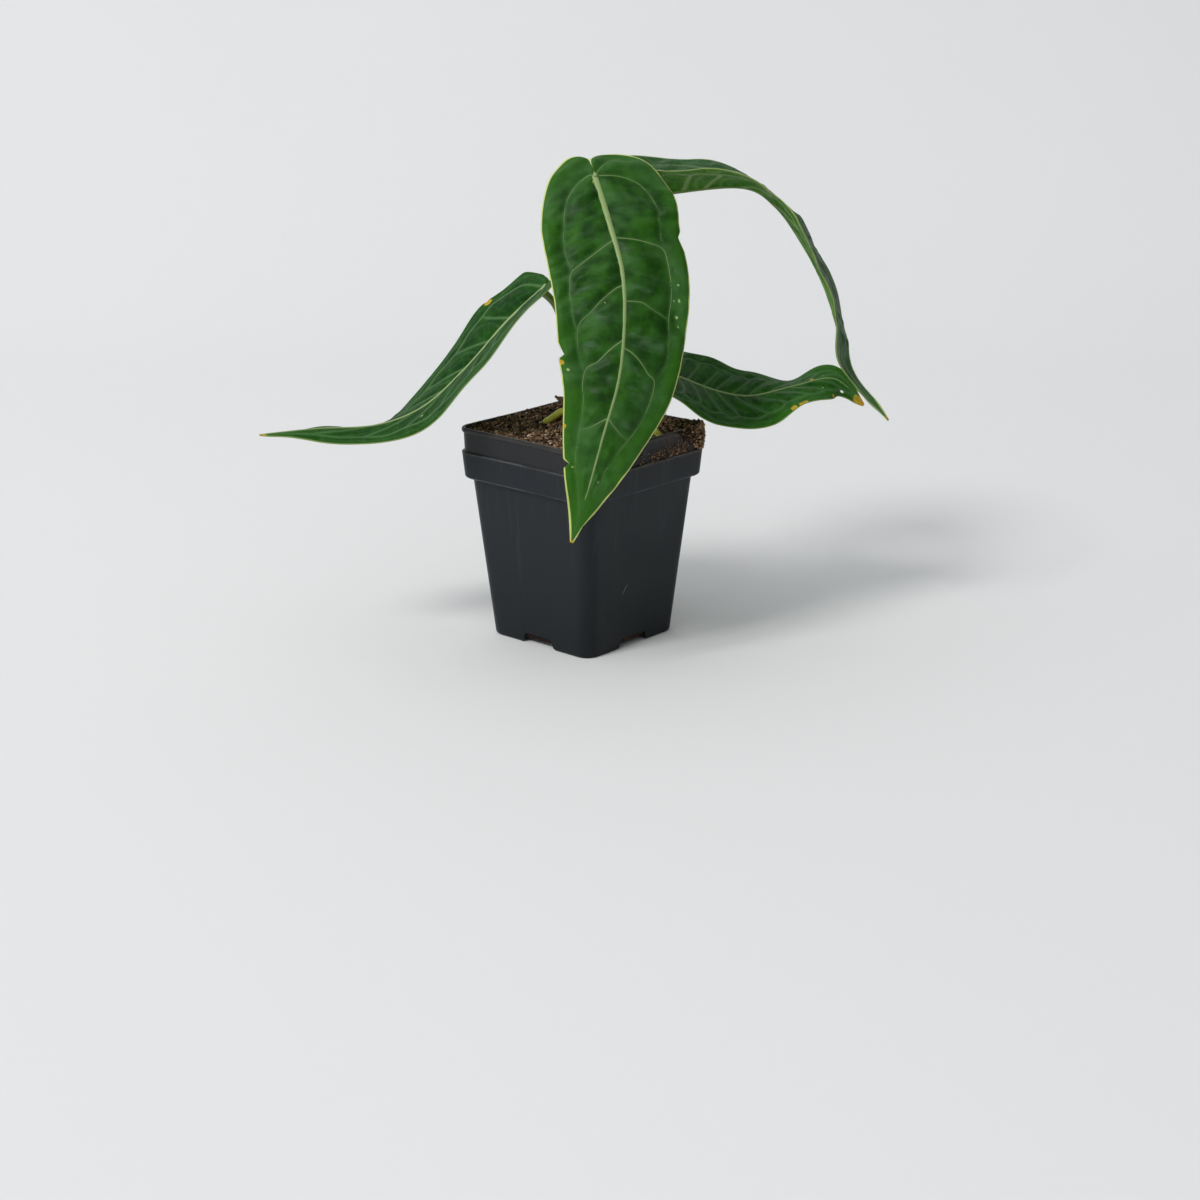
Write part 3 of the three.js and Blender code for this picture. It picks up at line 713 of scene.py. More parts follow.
# Prop roots.
# Plump yellow-green aerial roots with fine rings across them, which arch out of the crown and turn red-brown
# where they go down into the mix.
ROOTS = {
    "left": [
        (-2, 5, 125), (-10, 5.5, 127.5), (-17, 6.5, 123.5), (-23, 7.5, 118), (-26, 8.5, 108), (-26, 9, 98),
    ],
    "right": [(3, 3, 121), (15, -5, 126.5), (30, -12, 125.5), (41, -17, 120), (43, -18, 110), (42, -17, 100)],
    "front": [(1, 1, 122), (4, -8, 125), (6, -15, 121), (7, -18, 112), (7, -19, 100)],
    "back": [(3, 7, 121), (11, 14, 125), (16, 22, 122), (18, 27, 113), (18, 28, 101)],
}
ROOT_RADII = [2.3, 2.1, 1.9, 1.9, 1.7, 1.2]

root_skin, tree = new_material("root_skin", roughness=0.48, specular=0.4)
place = object_place(tree)
blotch = speckled(place, 220.0, 4.0)
colour = layered(
    mixed(blotch, (0.47, 0.49, 0.035, 1), (0.76, 0.75, 0.13, 1)),
    (axis_of(place, "Z"), 0.1165, 0.1195, 0.9, 0.0, (0.19, 0.065, 0.025, 1)),
    (speckled(place, 700.0, 2.0), 0.6, 0.75, 0.0, 0.3, (0.22, 0.19, 0.02, 1)),
)
finish(colour, raised(blotch, 0.25, 0.0004))


def root_rings(travelled, angle):
    fold = 0.5 + 0.5 * sin(travelled * 5.2 + 0.5 * sin(angle))
    uneven = noise.noise(Vector((cos(angle), sin(angle), travelled * 0.4)))
    return 0.05 - 0.2 * fold**3 + 0.12 * uneven


for name, points in ROOTS.items():
    root = piece("root_" + name + "_skin", stalk(points, ROOT_RADII, 18, 190, root_rings), root_skin)
    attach(root, "root")
    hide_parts("root_" + name)

# Leaf blades.
# Long heart-based blades, velvety dark green above and paler below, which hang from the tops of their
# stalks. The skin swells between sunken pale veins, and the margin is a thin yellow-green line.
BLADE_OUTLINE = [
    (0.17, -0.086), (0.48, -0.073), (0.76, -0.02), (0.92, 0.05), (1, 0.14), (0.99, 0.25), (0.94, 0.37),
    (0.85, 0.49), (0.73, 0.605), (0.56, 0.72), (0.36, 0.83), (0.15, 0.93), (0.022, 1),
]
BLADE_CURL = -6
BLADE_THICKNESS = 0.55
LOBE_DROP = 2
LOBE_ROUND = (0.155, 0.03)
RIB_STEPS = 120
SHORT_BLADE = 150

# Veins of the front leaf, from the midrib outwards: each point's share across the half-blade, negative on the
# left, and its share along the blade.
FRONT_MAIN_VEINS = [
    [
        (0, 0.03), (-0.24, 0.07), (-0.5, 0.14), (-0.6, 0.19), (-0.66, 0.24), (-0.68, 0.3), (-0.72, 0.36),
        (-0.7, 0.427),
    ],
    [
        (0, 0.342), (-0.07, 0.348), (-0.35, 0.383), (-0.56, 0.408), (-0.7, 0.427), (-0.75, 0.46),
        (-0.77, 0.5), (-0.75, 0.542), (-0.69, 0.568),
    ],
    [
        (0, 0.475), (-0.12, 0.482), (-0.33, 0.508), (-0.49, 0.532), (-0.67, 0.555), (-0.71, 0.6),
        (-0.63, 0.66),
    ],
    [
        (0, 0.603), (-0.06, 0.608), (-0.22, 0.623), (-0.4, 0.642), (-0.59, 0.652), (-0.66, 0.685),
        (-0.63, 0.72), (-0.64, 0.765), (-0.69, 0.823), (-0.6, 0.88), (-0.3, 0.95),
    ],
    [(0, 0.765), (-0.23, 0.772), (-0.45, 0.775), (-0.64, 0.77)],
    [
        (0, 0.03), (0.23, 0.08), (0.47, 0.128), (0.59, 0.165), (0.66, 0.2), (0.7, 0.26), (0.7, 0.33),
        (0.67, 0.4),
    ],
    [(0, 0.03), (0.28, 0.055), (0.52, 0.065), (0.71, 0.075), (0.82, 0.1)],
    [
        (0, 0.334), (0.25, 0.355), (0.45, 0.375), (0.67, 0.4), (0.71, 0.435), (0.72, 0.49), (0.7, 0.53),
        (0.73, 0.57), (0.76, 0.61), (0.63, 0.652),
    ],
    [(0, 0.515), (0.25, 0.512), (0.43, 0.522), (0.68, 0.533)],
    [
        (0, 0.62), (0.16, 0.625), (0.3, 0.633), (0.49, 0.647), (0.63, 0.652), (0.68, 0.685), (0.68, 0.735),
        (0.63, 0.768), (0.5, 0.83), (0.4, 0.9),
    ],
    [(0, 0.765), (0.13, 0.77), (0.42, 0.772), (0.61, 0.768)],
]
FRONT_FAINT_VEINS = [
    [(0, 0.225), (-0.09, 0.233), (-0.34, 0.278), (-0.62, 0.305)],
    [(0, 0.41), (-0.3, 0.43), (-0.6, 0.47)],
    [(0, 0.7), (-0.35, 0.703), (-0.6, 0.708)],
    [(0, 0.04), (-0.3, 0.062), (-0.55, 0.06)],
    [(0, 0.225), (0.3, 0.25), (0.68, 0.29)],
    [(0, 0.432), (0.09, 0.435), (0.32, 0.448), (0.68, 0.468)],
    [(0, 0.7), (0.3, 0.705), (0.66, 0.71)],
    [(0, 0.85), (0.4, 0.86)],
    [(0, 0.85), (-0.4, 0.86)],
]
PALE_RIM = (0.72, (0.58, 0.65, 0.20, 1))
GREEN_RIM = (0.45, (0.16, 0.26, 0.06, 1))
NEAR_RIM = (0.8, (0.42, 0.52, 0.17, 1))

# What a blade has where its own lines below don't say otherwise.
PLAIN_BLADE = {
    "outline": BLADE_OUTLINE, "swell": ([1, 1], [1, 1]), "lobe": 1, "nicks": [], "spots": [], "specks": [],
}

# Lines of a blade, in millimetres and degrees, from the stalk to the tip. A pair is left half, right half.
# facing: the way the upper face looks at the stalk. half: half the width. tilt: how far a half is folded up.
# swell and lobe: factors on the half width and on the lobes' length. wave: height, count and phase of the
# margin's waves. grid: columns and rows. quilt: height of the swellings, height and cell of the fine net,
# height of the ripples. ladder: pairs of side veins, their reach, rise and seed. nicks: side, place, depth,
# width before and after. spots, specks and hole: share across, share along and radius. greens: deep, light.
# upper: how strongly the net and the veins show, the rim, the painted sheen of pale streaks and haze,
# roughness and gloss.
LEAVES = {
    "front": {
        "midrib": [
            (7, -22, 262), (14, -42, 242), (21, -60, 218), (22, -74, 193), (19, -83, 165), (11, -89, 137),
            (3, -91, 108), (-6, -93, 80),
        ],
        "facing": (0, -0.35, 0.94),
        "half": (42, 40),
        "tilt": ([-5, -5, -5, -8, -10, -10, -8], [-3, -3, -3, -4, -6, -8, -8]),
        "swell": (
            [0.6, 0.71, 0.81, 0.89, 0.93, 0.96, 0.92, 1.02, 0.9],
            [0.75, 1.07, 1.09, 0.95, 0.94, 0.99, 1.04, 0.99, 0.9],
        ),
        "wave": (1.2, 6, 0.6),
        "grid": (120, 300),
        "quilt": (1.7, 0.08, 8.0, 2.3),
        "vein_tone": 0.72,
        "main": FRONT_MAIN_VEINS,
        "faint": FRONT_FAINT_VEINS,
        "nicks": [
            (-1, 0.608, 3.6, 5.5, 1.6), (-1, 0.82, 6.5, 2.2, 1.1), (1, 0.386, 2.0, 2.5, 6.0),
            (1, 0.945, 1.5, 9.0, 8.0),
        ],
        "spots": [(-0.97, 0.626, 2.2), (-0.97, 0.75, 1.4), (0.0, 0.999, 1.6)],
        "specks": [
            (0.82, 0.469, 0.8), (0.84, 0.495, 1.1), (0.82, 0.524, 1.2), (0.76, 0.497, 0.5), (0.86, 0.54, 0.6),
            (-0.88, 0.646, 1.3), (0.37, 0.873, 0.9), (-0.28, 0.516, 0.6), (0.8, 0.445, 0.6),
        ],
        "greens": ((0.0025, 0.026, 0.0015, 1), (0.030, 0.128, 0.006, 1)),
        "upper": (0.03, 0.14, PALE_RIM, 0.45, 0.42, 0.13),
    },
    "left": {
        "midrib": [
            (-20, 4, 198), (-41, -4, 180), (-63, -8, 156), (-87, -14, 135), (-113, -21, 126),
            (-145, -29, 126), (-175, -38, 125),
        ],
        "facing": (-0.66, 0, 0.75),
        "half": (36, 33),
        "tilt": ([24, 25, 22, 12, -4, 1, -5], [10, 6, 2, -7, -20, -28, -35]),
        "lobe": 0.35,
        "wave": (0.8, 5, 2.1),
        "grid": (110, 270),
        "quilt": (0.55, 0.1, 7.5, 0.8),
        "vein_tone": 0.25,
        "nicks": [(-1, 0.34, 1.6, 2.2, 2.2)],
        "ladder": (6, 0.68, 0.1, 21),
        "spots": [(-0.93, 0.335, 4.2), (0.0, 0.995, 3.0)],
        "specks": [(0.47, 0.636, 1.3), (0.3, 0.7, 0.5)],
        "greens": ((0.002, 0.026, 0.002, 1), (0.014, 0.075, 0.006, 1)),
        "upper": (0.1, 0.35, GREEN_RIM, 0.0, 0.45, 0.04),
    },
    "right": {
        "midrib": [
            (34, 8, 154), (55, 8, 146), (76, 9, 138), (95, 11, 135), (119, 14, 140), (142, 18, 143),
            (159, 21, 127),
        ],
        "facing": (0, -0.3, 0.95),
        "half": (37, 34),
        "tilt": ([16, 16, 6, 6, 11, -17, -53], [-1, 2, 5, -1, -23, 5, 35]),
        "wave": (0.8, 5, 4.4),
        "grid": (124, 250),
        "quilt": (1.1, 0.12, 6.5, 1.4),
        "vein_tone": 0.14,
        "ladder": (9, 0.68, 0.07, 22),
        "spots": [
            (-0.94, 0.668, 2.4), (-0.97, 0.69, 2.0), (-0.95, 0.705, 1.8), (-0.93, 0.815, 1.8),
            (0.16, 0.806, 1.6), (0.0, 0.996, 6.5), (-0.3, 0.97, 3.5),
        ],
        "specks": [(-0.5, 0.81, 0.9), (-0.19, 0.895, 0.5), (0.3, 0.84, 0.5), (-0.8, 0.85, 0.5)],
        "hole": (-0.7, 0.89, 1.15),
        "greens": ((0.002, 0.031, 0.002, 1), (0.024, 0.115, 0.006, 1)),
        "upper": (0.12, 0.28, GREEN_RIM, 0.1, 0.45, 0.05),
    },
    "back": {
        "midrib": [
            (22, 38, 242), (46, 40, 244), (88, 30, 248.5), (107, 25, 238.5), (122, 13, 218.5),
            (133.5, 8, 197), (141, -1, 173.5), (144, -7, 153.5), (169, -12, 126),
        ],
        "facing": (0, 0, 1),
        "half": (36, 37),
        "tilt": ([30, 34, 27, 29, 25, 19, 16], [40, 24, 1, -2, -3, 1, 21]),
        "wave": (1.2, 7, 1.3),
        "grid": (110, 320),
        "quilt": (1.0, 0.2, 8.0, 1.6),
        "vein_tone": 0.4,
        "ladder": (7, 0.7, 0.08, 23),
        "spots": [(0.0, 0.995, 2.0)],
        "greens": ((0.005, 0.034, 0.004, 1), (0.020, 0.085, 0.012, 1)),
        "upper": (0.12, 0.3, NEAR_RIM, 0.55, 0.42, 0.2),
    },
}


def laid_out(own):
    """A blade with its midrib worked out."""
    leaf = {**PLAIN_BLADE, **own}
    leaf["stations"] = stations_along(leaf["midrib"], leaf["facing"], RIB_STEPS, 1 / RIB_STEPS)
    leaf["length"] = leaf["stations"][-1][4]
    return leaf


def station_at(stations, distance):
    """The station at a distance along the midrib."""
    i = bisect.bisect_right(stations, distance, key=lambda station: station[4]) - 1
    i = min(max(i, 0), len(stations) - 2)
    a, b = stations[i], stations[i + 1]
    w = min(max((distance - a[4]) / (b[4] - a[4]), 0), 1)
    return [a[k].lerp(b[k], w) for k in range(4)]


def flat_place(leaf, u, v):
    """Where a point lies on the blade laid flat: across and along, and how far it is from the margin."""
    length = leaf["length"]
    half = 0 if v < 0 else 1
    share = abs(v)
    corner = (1 - u) ** 40
    edge_x, edge_share = smooth_point(leaf["outline"], u)
    edge_x = (edge_x - LOBE_ROUND[0] * corner) * smooth(leaf["swell"][half], u) * leaf["half"][half]
    edge_share += LOBE_ROUND[1] * corner
    edge_y = (edge_share * leaf["lobe"] if edge_share < 0 else edge_share) * length
    rib_y = length * u**1.5
    near_lobe = (1 - u) ** 12
    round_x = share + 0.65 * (share**2 - share) * near_lobe
    round_y = share**1.35 + (share * (2 - share) - share**1.35) * near_lobe
    x = edge_x * round_x
    for side, at, depth, before, after in leaf["nicks"]:
        if side == (1 if half else -1):
            width = before if u < at else after
            x -= depth * max(0, 1 - abs(u - at) * length / width) * share**14
    return x, rib_y + (edge_y - rib_y) * round_y, edge_x * (1 - round_x)


def blade_place(leaf, u, v, lift=0.0):
    """A point of the blade's middle sheet, in millimetres, lifted out of its upper face, and that way out."""
    half = 0 if v < 0 else 1
    side = 1 if half else -1
    x, y, _ = flat_place(leaf, u, v)
    place = min(max(y / leaf["length"], 0), 1)
    point, along, across, normal = station_at(leaf["stations"], place * leaf["length"])
    fold = radians(smooth(leaf["tilt"][half], place) + BLADE_CURL * (x / leaf["half"][half]))
    height, count, phase = leaf["wave"]
    wave = height * sin(tau * count * u + phase + half * 2)
    rise = x * sin(fold) + wave * abs(v) ** 3 * min(1, 6 * (1 - u))
    drop = LOBE_DROP * (y / 15) ** 2 if y < 0 else 0
    out = normal * cos(fold) - across * (side * sin(fold))
    made = point + along * min(y, 0) + across * (side * x * cos(fold)) + normal * (rise - drop)
    return made + out * lift, out


def ladder_veins(count, reach, rise, seed):
    """Side veins in pairs along the midrib, whose ends are joined by a vein near the margin."""
    chance = random.Random(seed)
    main, faint = [], []
    for side in (-1, 1):
        ends = [(side * 0.5, 0.13), (side * 0.66, 0.2)]
        for k in range(count):
            start = 0.26 + 0.6 * (k + 0.3 * chance.random()) / count
            tip = reach * (1 - 0.12 * k / count) + chance.uniform(-0.03, 0.03)
            end = (side * tip, start + rise + chance.uniform(-0.01, 0.01))
            bend = [(side * tip * 0.35, start + rise * 0.42), (side * tip * 0.7, start + rise * 0.8)]
            main.append([(0, start), *bend, end])
            after = start + 0.3 / count
            faint.append([(0, after), (side * tip * 0.5, after + rise * 0.35), (side * tip, after + rise)])
            ends += [(side * (tip + 0.07), start + rise - 0.3 / count), end]
        ends += [(side * 0.5, 0.93), (side * 0.2, 0.985)]
        main.append([(0, 0.03), (side * 0.24, 0.07)] + ends)
        faint.append([(0, 0.03), (side * 0.3, 0.05), (side * 0.6, 0.06), (side * 0.8, 0.1)])
        faint.append([(side * 0.86, 0.12)] + [(side * 0.88, 0.2 + 0.08 * k) for k in range(9)])
    return main, faint


def traced(line, steps=8):
    """A vein's points close together, each pair of shares joined smoothly."""
    count = (len(line) - 1) * steps
    return [smooth_point(line, k / count) for k in range(count + 1)]


def vein_finders(leaf):
    """Two searches for the nearest vein on the flat blade: among the main veins, and among all of them."""
    spots = [Vector((0, leaf["length"] * k / 299, 0)) for k in range(300)]
    finders = []
    for group in (leaf["main"], leaf["faint"]):
        for line in group:
            for v, u in traced(line):
                x, y, _ = flat_place(leaf, u, v)
                spots.append(Vector((x if v >= 0 else -x, y, 0)))
        finder = kdtree.KDTree(len(spots))
        for i, spot in enumerate(spots):
            finder.insert(spot, i)
        finder.balance()
        finders.append(finder)
    return finders


def relief(leaf, u, v):
    """How far the face swells between the veins at a place, and what it was worked out from."""
    swell_height, net_height, cell, ripple_height = leaf["quilt"]
    x, y, edge = flat_place(leaf, u, v)
    side = -1 if v < 0 else 1
    to_main, to_any = [finder.find((side * x, y, 0))[2] for finder in leaf["finders"]]
    warp = noise.noise_vector(Vector((x, y, 9 * side)) * 0.06)
    spot = Vector((side * x / cell + 0.6 * warp.x, 1.5 * y / cell + 0.6 * warp.y, 5 * side))
    nearest, second = noise.voronoi(spot)[0][:2]
    net = second - nearest
    calm = min(1, max(0, edge) / 3) * min(1, 8 * (1 - u))
    puff = 0.62 * (1 - exp(-((to_main / 5) ** 2))) + 0.38 * (1 - exp(-((to_any / 3) ** 2)))
    small = net_height * (1 - exp(-((net / 0.3) ** 2))) * min(1, to_any / 2)
    slant = Vector((x * 0.05, (y - 0.25 * x) * 0.15, 3 * side))
    ripple = ripple_height * noise.noise(slant) * min(1, to_main / 4)
    return calm * (swell_height * (puff - 0.4) + small + ripple), side * x, y, edge, to_main, to_any, net


def flat_grid(columns, rows):
    """A grid to bend into a blade, its upper face outwards, and a layer for each point's place when flat."""
    bm = bmesh.new()
    bmesh.ops.create_grid(bm, x_segments=columns, y_segments=rows, size=1)
    bmesh.ops.reverse_faces(bm, faces=bm.faces)
    return bm, bm.verts.layers.float_vector.new("flat")


def blade_mesh(leaf):
    """The blade's middle sheet, with what its finish reads from place to place."""
    bm, flat = flat_grid(*leaf["grid"])
    layers = [bm.verts.layers.float.new(key) for key in ("edge", "vein", "faint", "net")]
    marks = {}
    for key in ("spots", "specks"):
        layer = bm.verts.layers.float.new(key)
        marks[layer] = []
        for v, u, size in leaf[key]:
            x, y, _ = flat_place(leaf, u, v)
            marks[layer].append((copysign(x, v), y, size))
    for vert in bm.verts:
        v, u = vert.co.x, (vert.co.y + 1) / 2
        lift, across, y, *readings = relief(leaf, u, v)
        vert[flat] = Vector((across, y, copysign(5, v))) * 0.1
        for layer, reading in zip(layers, readings):
            vert[layer] = reading
        for layer, places in marks.items():
            away = [hypot(across - mark_x, y - mark_y) / size for mark_x, mark_y, size in places]
            vert[layer] = min(1, 1.5 * max(0, 1 - min(away))) if away else 0
        vert.co = blade_place(leaf, u, v, lift)[0] * MM
    if "hole" in leaf:
        hole_v, hole_u, reach = leaf["hole"]
        centre = blade_place(leaf, hole_u, hole_v)[0] * MM
        inside = [vert for vert in bm.verts if (vert.co - centre).length < reach * MM]
        bmesh.ops.delete(bm, geom=inside, context="VERTS")
        for vert in bm.verts:
            away = vert.co - centre
            if vert.is_boundary and away.length < reach * 1.3 * MM:
                vert.co = centre + away * (reach * MM / away.length)
    return bm


def thicken(sheet, thickness, under=0, rim=0):
    """Gives a sheet its thickness, and its underside and rim their own materials."""
    solid = sheet.modifiers.new("thickness", "SOLIDIFY")
    solid.thickness = thickness * MM
    solid.offset = 0
    solid.material_offset = under
    solid.material_offset_rim = rim


def leaf_finish(name, line, deep, light, net_share, vein_share, rim, painted_sheen, roughness, gloss):
    """A leaf face: two greens in soft patches, paler by the veins and the margin line, painted light through
    the leaf near the margin and towards the tip, painted sheen in pale streaks and haze, and spots.
    """
    material, tree = new_material(name, specular=gloss)
    flat = attribute(tree, "flat", "Vector")
    edge, vein, faint, net, spots, specks = [
        attribute(tree, key) for key in ("edge", "vein", "faint", "net", "spots", "specks")
    ]
    patches = speckled(flat, 0.9)
    fine = speckled(flat, 14.0, 4.0, 0.65)
    down = axis_of(flat, "Y")
    rim_width, rim_colour = rim
    # Painted sheen: pale streaks across the blade between the veins stand in for the velvet's soft
    # highlights.
    painted_sheen_streaks = stepped(speckled(stretched(flat, (0.6, 1.5, 1), -0.35), 1.0, 4.0, 0.5), 0.5, 0.78)
    painted_sheen_streaks = times(painted_sheen_streaks, stepped(vein, 1.0, 5.0), stepped(edge, 2.0, 9.0))
    painted_sheen_streaks = times(painted_sheen_streaks, stepped(down, 4.0, 10.0, 0.35 * painted_sheen, painted_sheen))
    colour = layered(
        mixed(stepped(patches, 0.3, 0.72, 0.1, 0.8), deep, light),
        (fine, 0.4, 0.75, 0.0, 0.2, light),
        # Painted light through the thin leaf: lighter green near the margin and towards the tip.
        (edge, 0.5, 11.0, 0.7, 0.0, light),
        (down, 12.0, 18.0, 0.0, 0.45, light),
    )
    live = times(specks, stepped(fine, 0.35, 0.6, 0.5, 1.0))
    dead = times(spots, stepped(fine, 0.35, 0.6, 0.35, 1.0))
    colour = layered(
        mixed(painted_sheen_streaks, colour, (0.12, 0.215, 0.125, 1)),
        # Painted sheen: soft pale haze in broad patches.
        (speckled(flat, 0.45, 2.0), 0.45, 0.7, 0.0, 0.5 * painted_sheen, (0.055, 0.12, 0.06, 1)),
        (net, 0.02, 0.16, net_share, 0.0, line),
        (faint, 0.1, 1.9, vein_share * 0.45, 0.0, line),
        (vein, 0.1, 2.1, vein_share, 0.0, line),
        (edge, 0.6 * rim_width, rim_width, 0.9, 0.0, rim_colour),
        (live, 0.1, 0.9, 0.0, 0.9, (0.46, 0.60, 0.24, 1)),
        (dead, 0.1, 0.5, 0.0, 0.8, (0.60, 0.43, 0.035, 1)),
        (dead, 0.55, 1.0, 0.0, 0.85, (0.42, 0.16, 0.02, 1)),
    )
    finish(colour, raised(fine, 0.25, 0.0003), stepped(patches, 0.3, 0.7, roughness, roughness + 0.1))
    return material


def margin_finish(name, low, high):
    material, tree = new_material(name, roughness=0.5, specular=0.3)
    finish(mixed(speckled(object_place(tree), 160.0), low, high))
    return material


# The underside is paler green, and its bright, saturated greens are partly painted light shining through the
# leaf.
under_face = leaf_finish(
    "leaf_under", (0.24, 0.38, 0.11, 1), (0.024, 0.125, 0.002, 1), (0.055, 0.195, 0.007, 1), 0.12, 0.7,
    (0.5, (0.3, 0.4, 0.1, 1)), 0.0, 0.5, 0.05,
)
bright_margin = margin_finish("leaf_margin_bright", (0.50, 0.57, 0.17, 1), (0.70, 0.73, 0.33, 1))
green_margin = margin_finish("leaf_margin_green", (0.13, 0.22, 0.05, 1), (0.28, 0.36, 0.12, 1))
vein_skin, tree = new_material("leaf_vein", roughness=0.42, specular=0.3)
dusky = speckled(object_place(tree), 300.0)
colour = mixed(attribute(tree, "tone"), (0.02, 0.085, 0.012, 1), (0.27, 0.37, 0.14, 1))
finish(layered(colour, (dusky, 0.4, 0.7, 0.0, 0.2, (0.16, 0.26, 0.08, 1))))

MIDRIB_RADII = [1.8, 1.65, 1.35, 1.05, 0.88, 0.74, 0.6, 0.48, 0.3]
MIDRIB_STEPS = 150
BESIDE_MIDRIB = 0.0001


def vein_tube(bm, spots, radii, flatness, tones, sides):
    """A vein: a small flattened tube through spots, each a point and the way out of the leaf there."""
    rings = []
    for k, (centre, way) in enumerate(spots):
        along = (spots[min(k + 1, len(spots) - 1)][0] - spots[max(k - 1, 0)][0]).normalized()
        up = (way - along * way.dot(along)).normalized()
        side = along.cross(up)
        rings.append([
            centre + side * radii[k] * cos(a) + up * radii[k] * flatness * sin(a)
            for a in (tau * n / sides for n in range(sides))
        ])
    part = tower(rings)
    shade = part.verts.layers.float.new("tone")
    step = part.verts.layers.int["step"]
    for vert in part.verts:
        vert[shade] = tones[0] + (tones[1] - tones[0]) * vert[step] / (len(rings) - 1)
    join(bm, part)


def vein_mesh(leaf):
    bm = bmesh.new()
    bm.verts.layers.float.new("tone")
    thinner = 0.7 if leaf["length"] < SHORT_BLADE else 1
    shares = [k / MIDRIB_STEPS for k in range(MIDRIB_STEPS + 1)]
    spots = [blade_place(leaf, u, BESIDE_MIDRIB, 0.5 - 0.6 * leaf["quilt"][0]) for u in shares]
    vein_tube(bm, spots, [smooth(MIDRIB_RADII, u**1.5) * thinner for u in shares], 0.62, (1.0, 0.75), 12)
    bright = leaf["vein_tone"]
    for group, start_radius, end_radius, tones in (
        (leaf["main"], 0.4, 0.2, (bright, 0.25 * bright)),
        (leaf["faint"], 0.22, 0.12, (0.25 * bright, 0.0)),
    ):
        for line in group:
            spots = [blade_place(leaf, u, v, relief(leaf, u, v)[0] + 0.05) for v, u in traced(line)]
            count = len(spots) - 1
            radii = [start_radius + (end_radius - start_radius) * k / count for k in range(count + 1)]
            vein_tube(bm, spots, radii, 1.3, tones, 6)
    heart = Matrix.Translation(blade_place(leaf, 0.004, BESIDE_MIDRIB, 0.4)[0] * MM)
    knob = bmesh.ops.create_icosphere(bm, subdivisions=3, radius=1.3 * MM, matrix=heart)["verts"]
    shade = bm.verts.layers.float["tone"]
    for vert in knob:
        vert[shade] = 1.0
    return bm


for name, own in LEAVES.items():
    leaf = laid_out(own)
    # The front leaf's veins are its own. The others grow by rule.
    if "ladder" in leaf:
        leaf["main"], leaf["faint"] = ladder_veins(*leaf["ladder"])
    leaf["finders"] = vein_finders(leaf)
    upper_face = leaf_finish("leaf_upper_" + name, (0.10, 0.23, 0.08, 1), *leaf["greens"], *leaf["upper"])
    margin = bright_margin if name == "front" else green_margin
    blade = piece("blade_" + name, blade_mesh(leaf), upper_face, under_face, margin)
    thicken(blade, BLADE_THICKNESS, under=1, rim=2)
    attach(blade, "root")
    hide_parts("leaf_" + name)
    veins = piece("veins_" + name, vein_mesh(leaf), vein_skin)
    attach(veins, "root")

# Petioles.
# Round green leaf stalks with faint lengthwise streaks, swollen at the foot where they leave the crown and at
# the knee that turns each blade to hang.
PETIOLE_WAYS = {
    "front": [(1, 4, 124), (4, 3, 150), (5, 4, 190), (5, 2, 225)],
    "left": [(-1, 6, 124), (-6, 7, 145), (-9, 7, 168)],
    "right": [(2, 5, 123), (11, 7, 132), (22, 10, 138)],
    "back": [(1, 8, 124), (6, 17, 150), (14, 30, 190), (20, 36, 218)],
}
PETIOLE_RADII = [3.2, 2.7, 2.2, 2, 1.9, 1.9, 2.1, 2.4]
PETIOLE_SEAT = 3
KNEE = 12

stalk_skin, tree = new_material("stalk_skin", roughness=0.4, specular=0.45)
place = object_place(tree)
streak = speckled(stretched(place, (600, 600, 30)), 1.0)
colour = layered(
    mixed(speckled(place, 60.0), (0.12, 0.20, 0.035, 1), (0.22, 0.32, 0.07, 1)),
    (streak, 0.45, 0.7, 0.0, 0.45, (0.33, 0.42, 0.14, 1)),
    (axis_of(place, "Z"), 0.122, 0.136, 0.7, 0.0, (0.16, 0.13, 0.04, 1)),
)
finish(colour, raised(streak, 0.2, 0.0003))


def stalk_ridges(travelled, angle):
    uneven = noise.noise(Vector((cos(angle), sin(angle), travelled * 0.1)))
    return 0.05 * sin(7 * angle) + 0.1 * uneven


for name, way in PETIOLE_WAYS.items():
    top, _, _, out = station_at(laid_out(LEAVES[name])["stations"], PETIOLE_SEAT)
    points = way + [tuple(top - out * KNEE), tuple(top - out * 0.3)]
    petiole = piece("stalk_" + name, stalk(points, PETIOLE_RADII, 20, 110, stalk_ridges), stalk_skin)
    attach(petiole, "root")
    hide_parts("petiole_" + name)

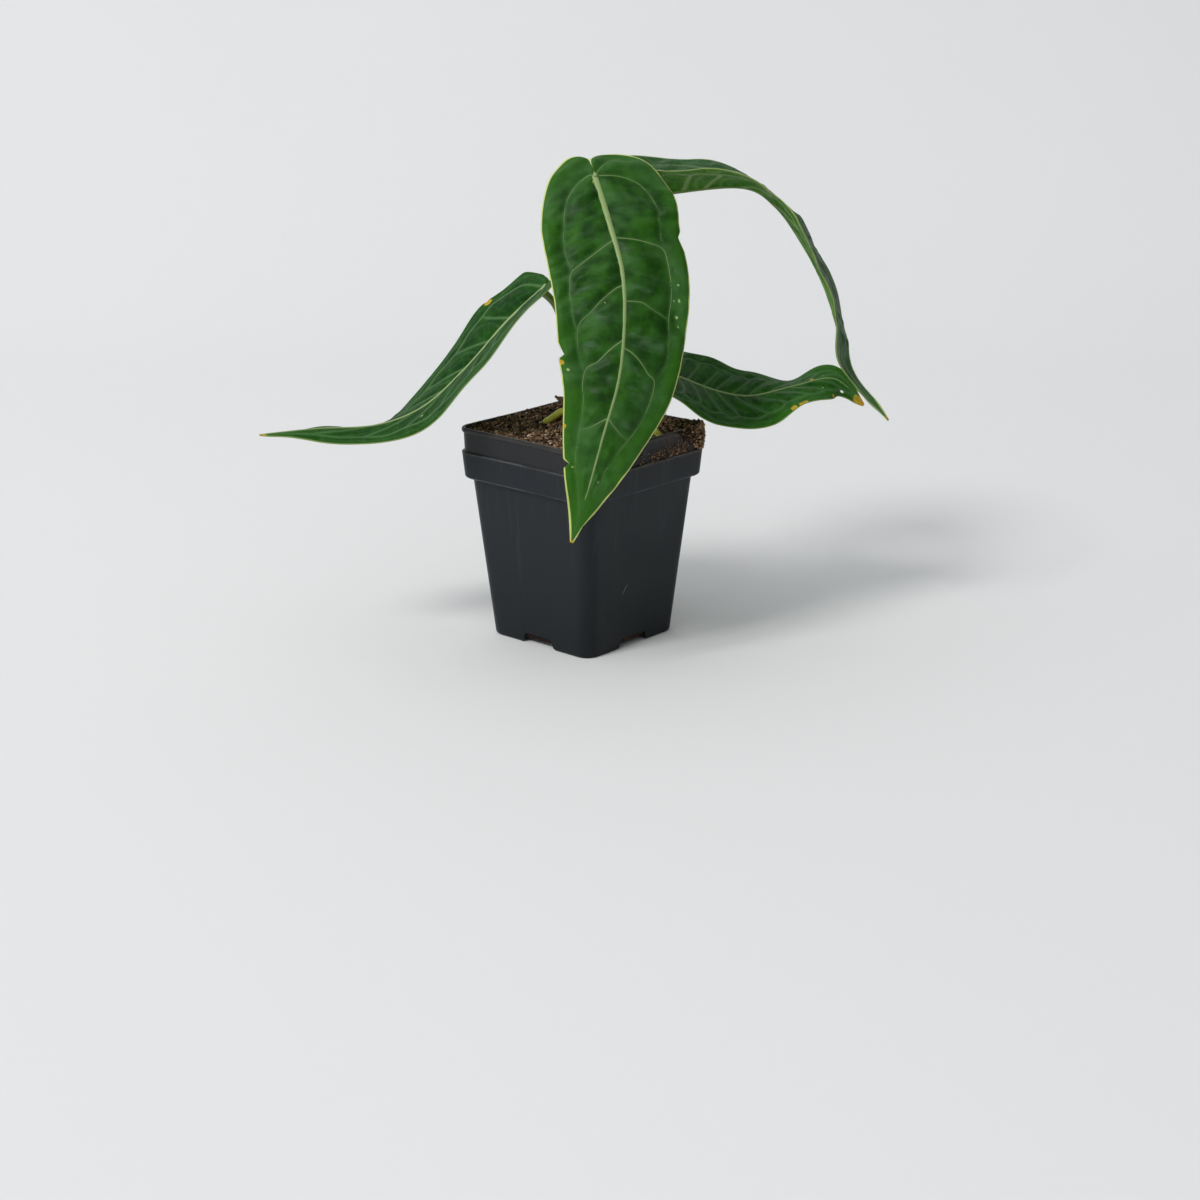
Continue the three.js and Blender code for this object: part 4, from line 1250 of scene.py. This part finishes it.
# Dry sheaths.
# Papery brown scales that once wrapped the young leaves. They are cupped, torn and curled, and stand on the
# crown beside the stalks.
SHEATHS = {
    "dry_sheath": {
        "midrib": [(-5.4, 10, 121.5), (-8, 12, 126.5), (-11.5, 13.5, 131), (-15.5, 14, 134)],
        "facing": (0.9, -0.3, 0.4),
    },
    "dry_sheath_back": {
        "midrib": [(-0.5, 12, 121.5), (-1, 15, 128), (-2, 18.5, 134), (-4, 22, 139)],
        "facing": (0.2, -0.9, 0.4),
    },
}
PLAIN_SHEATH = {
    "outline": [(0.7, 0), (0.95, 0.12), (1.1, 0.3), (1.15, 0.5), (1, 0.72), (0.7, 0.9), (0.3, 1)],
    "half": (4, 4),
    "tilt": ([38, 34, 26, 10], [38, 34, 26, 10]),
    "wave": (0.5, 2, 0),
    "nicks": [(-1, 0.5, 0.9, 1.2, 1.2), (1, 0.72, 0.8, 1.0, 1.0), (1, 0.3, 0.6, 0.8, 0.8)],
}
SHEATH_THICKNESS = 0.35

dry_skin, tree = new_material("dry_sheath_skin", roughness=0.8, specular=0.25)
flat = attribute(tree, "flat", "Vector")
fibre_lines = speckled(stretched(flat, (60, 3, 1)), 1.0, 4.0)
colour = mixed(speckled(flat, 6.0), (0.15, 0.085, 0.048, 1), (0.34, 0.21, 0.12, 1))
colour = layered(colour, (fibre_lines, 0.5, 0.7, 0.0, 0.6, (0.34, 0.25, 0.14, 1)))
finish(colour, raised(fibre_lines, 0.6, 0.0006))

for name, own in SHEATHS.items():
    scale = laid_out({**PLAIN_SHEATH, **own})
    bm, flat = flat_grid(28, 60)
    for vert in bm.verts:
        v, u = vert.co.x, (vert.co.y + 1) / 2
        x, y, _ = flat_place(scale, u, v)
        vert[flat] = Vector((copysign(x, v), y, 0)) * 0.1
        vert.co = blade_place(scale, u, v, 0.5 * rough((v * 2.2, u * 2.5, 4)))[0] * MM
    sheath = piece(name + "_scale", bm, dry_skin)
    thicken(sheath, SHEATH_THICKNESS)
    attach(sheath, "root")
    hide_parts(name)
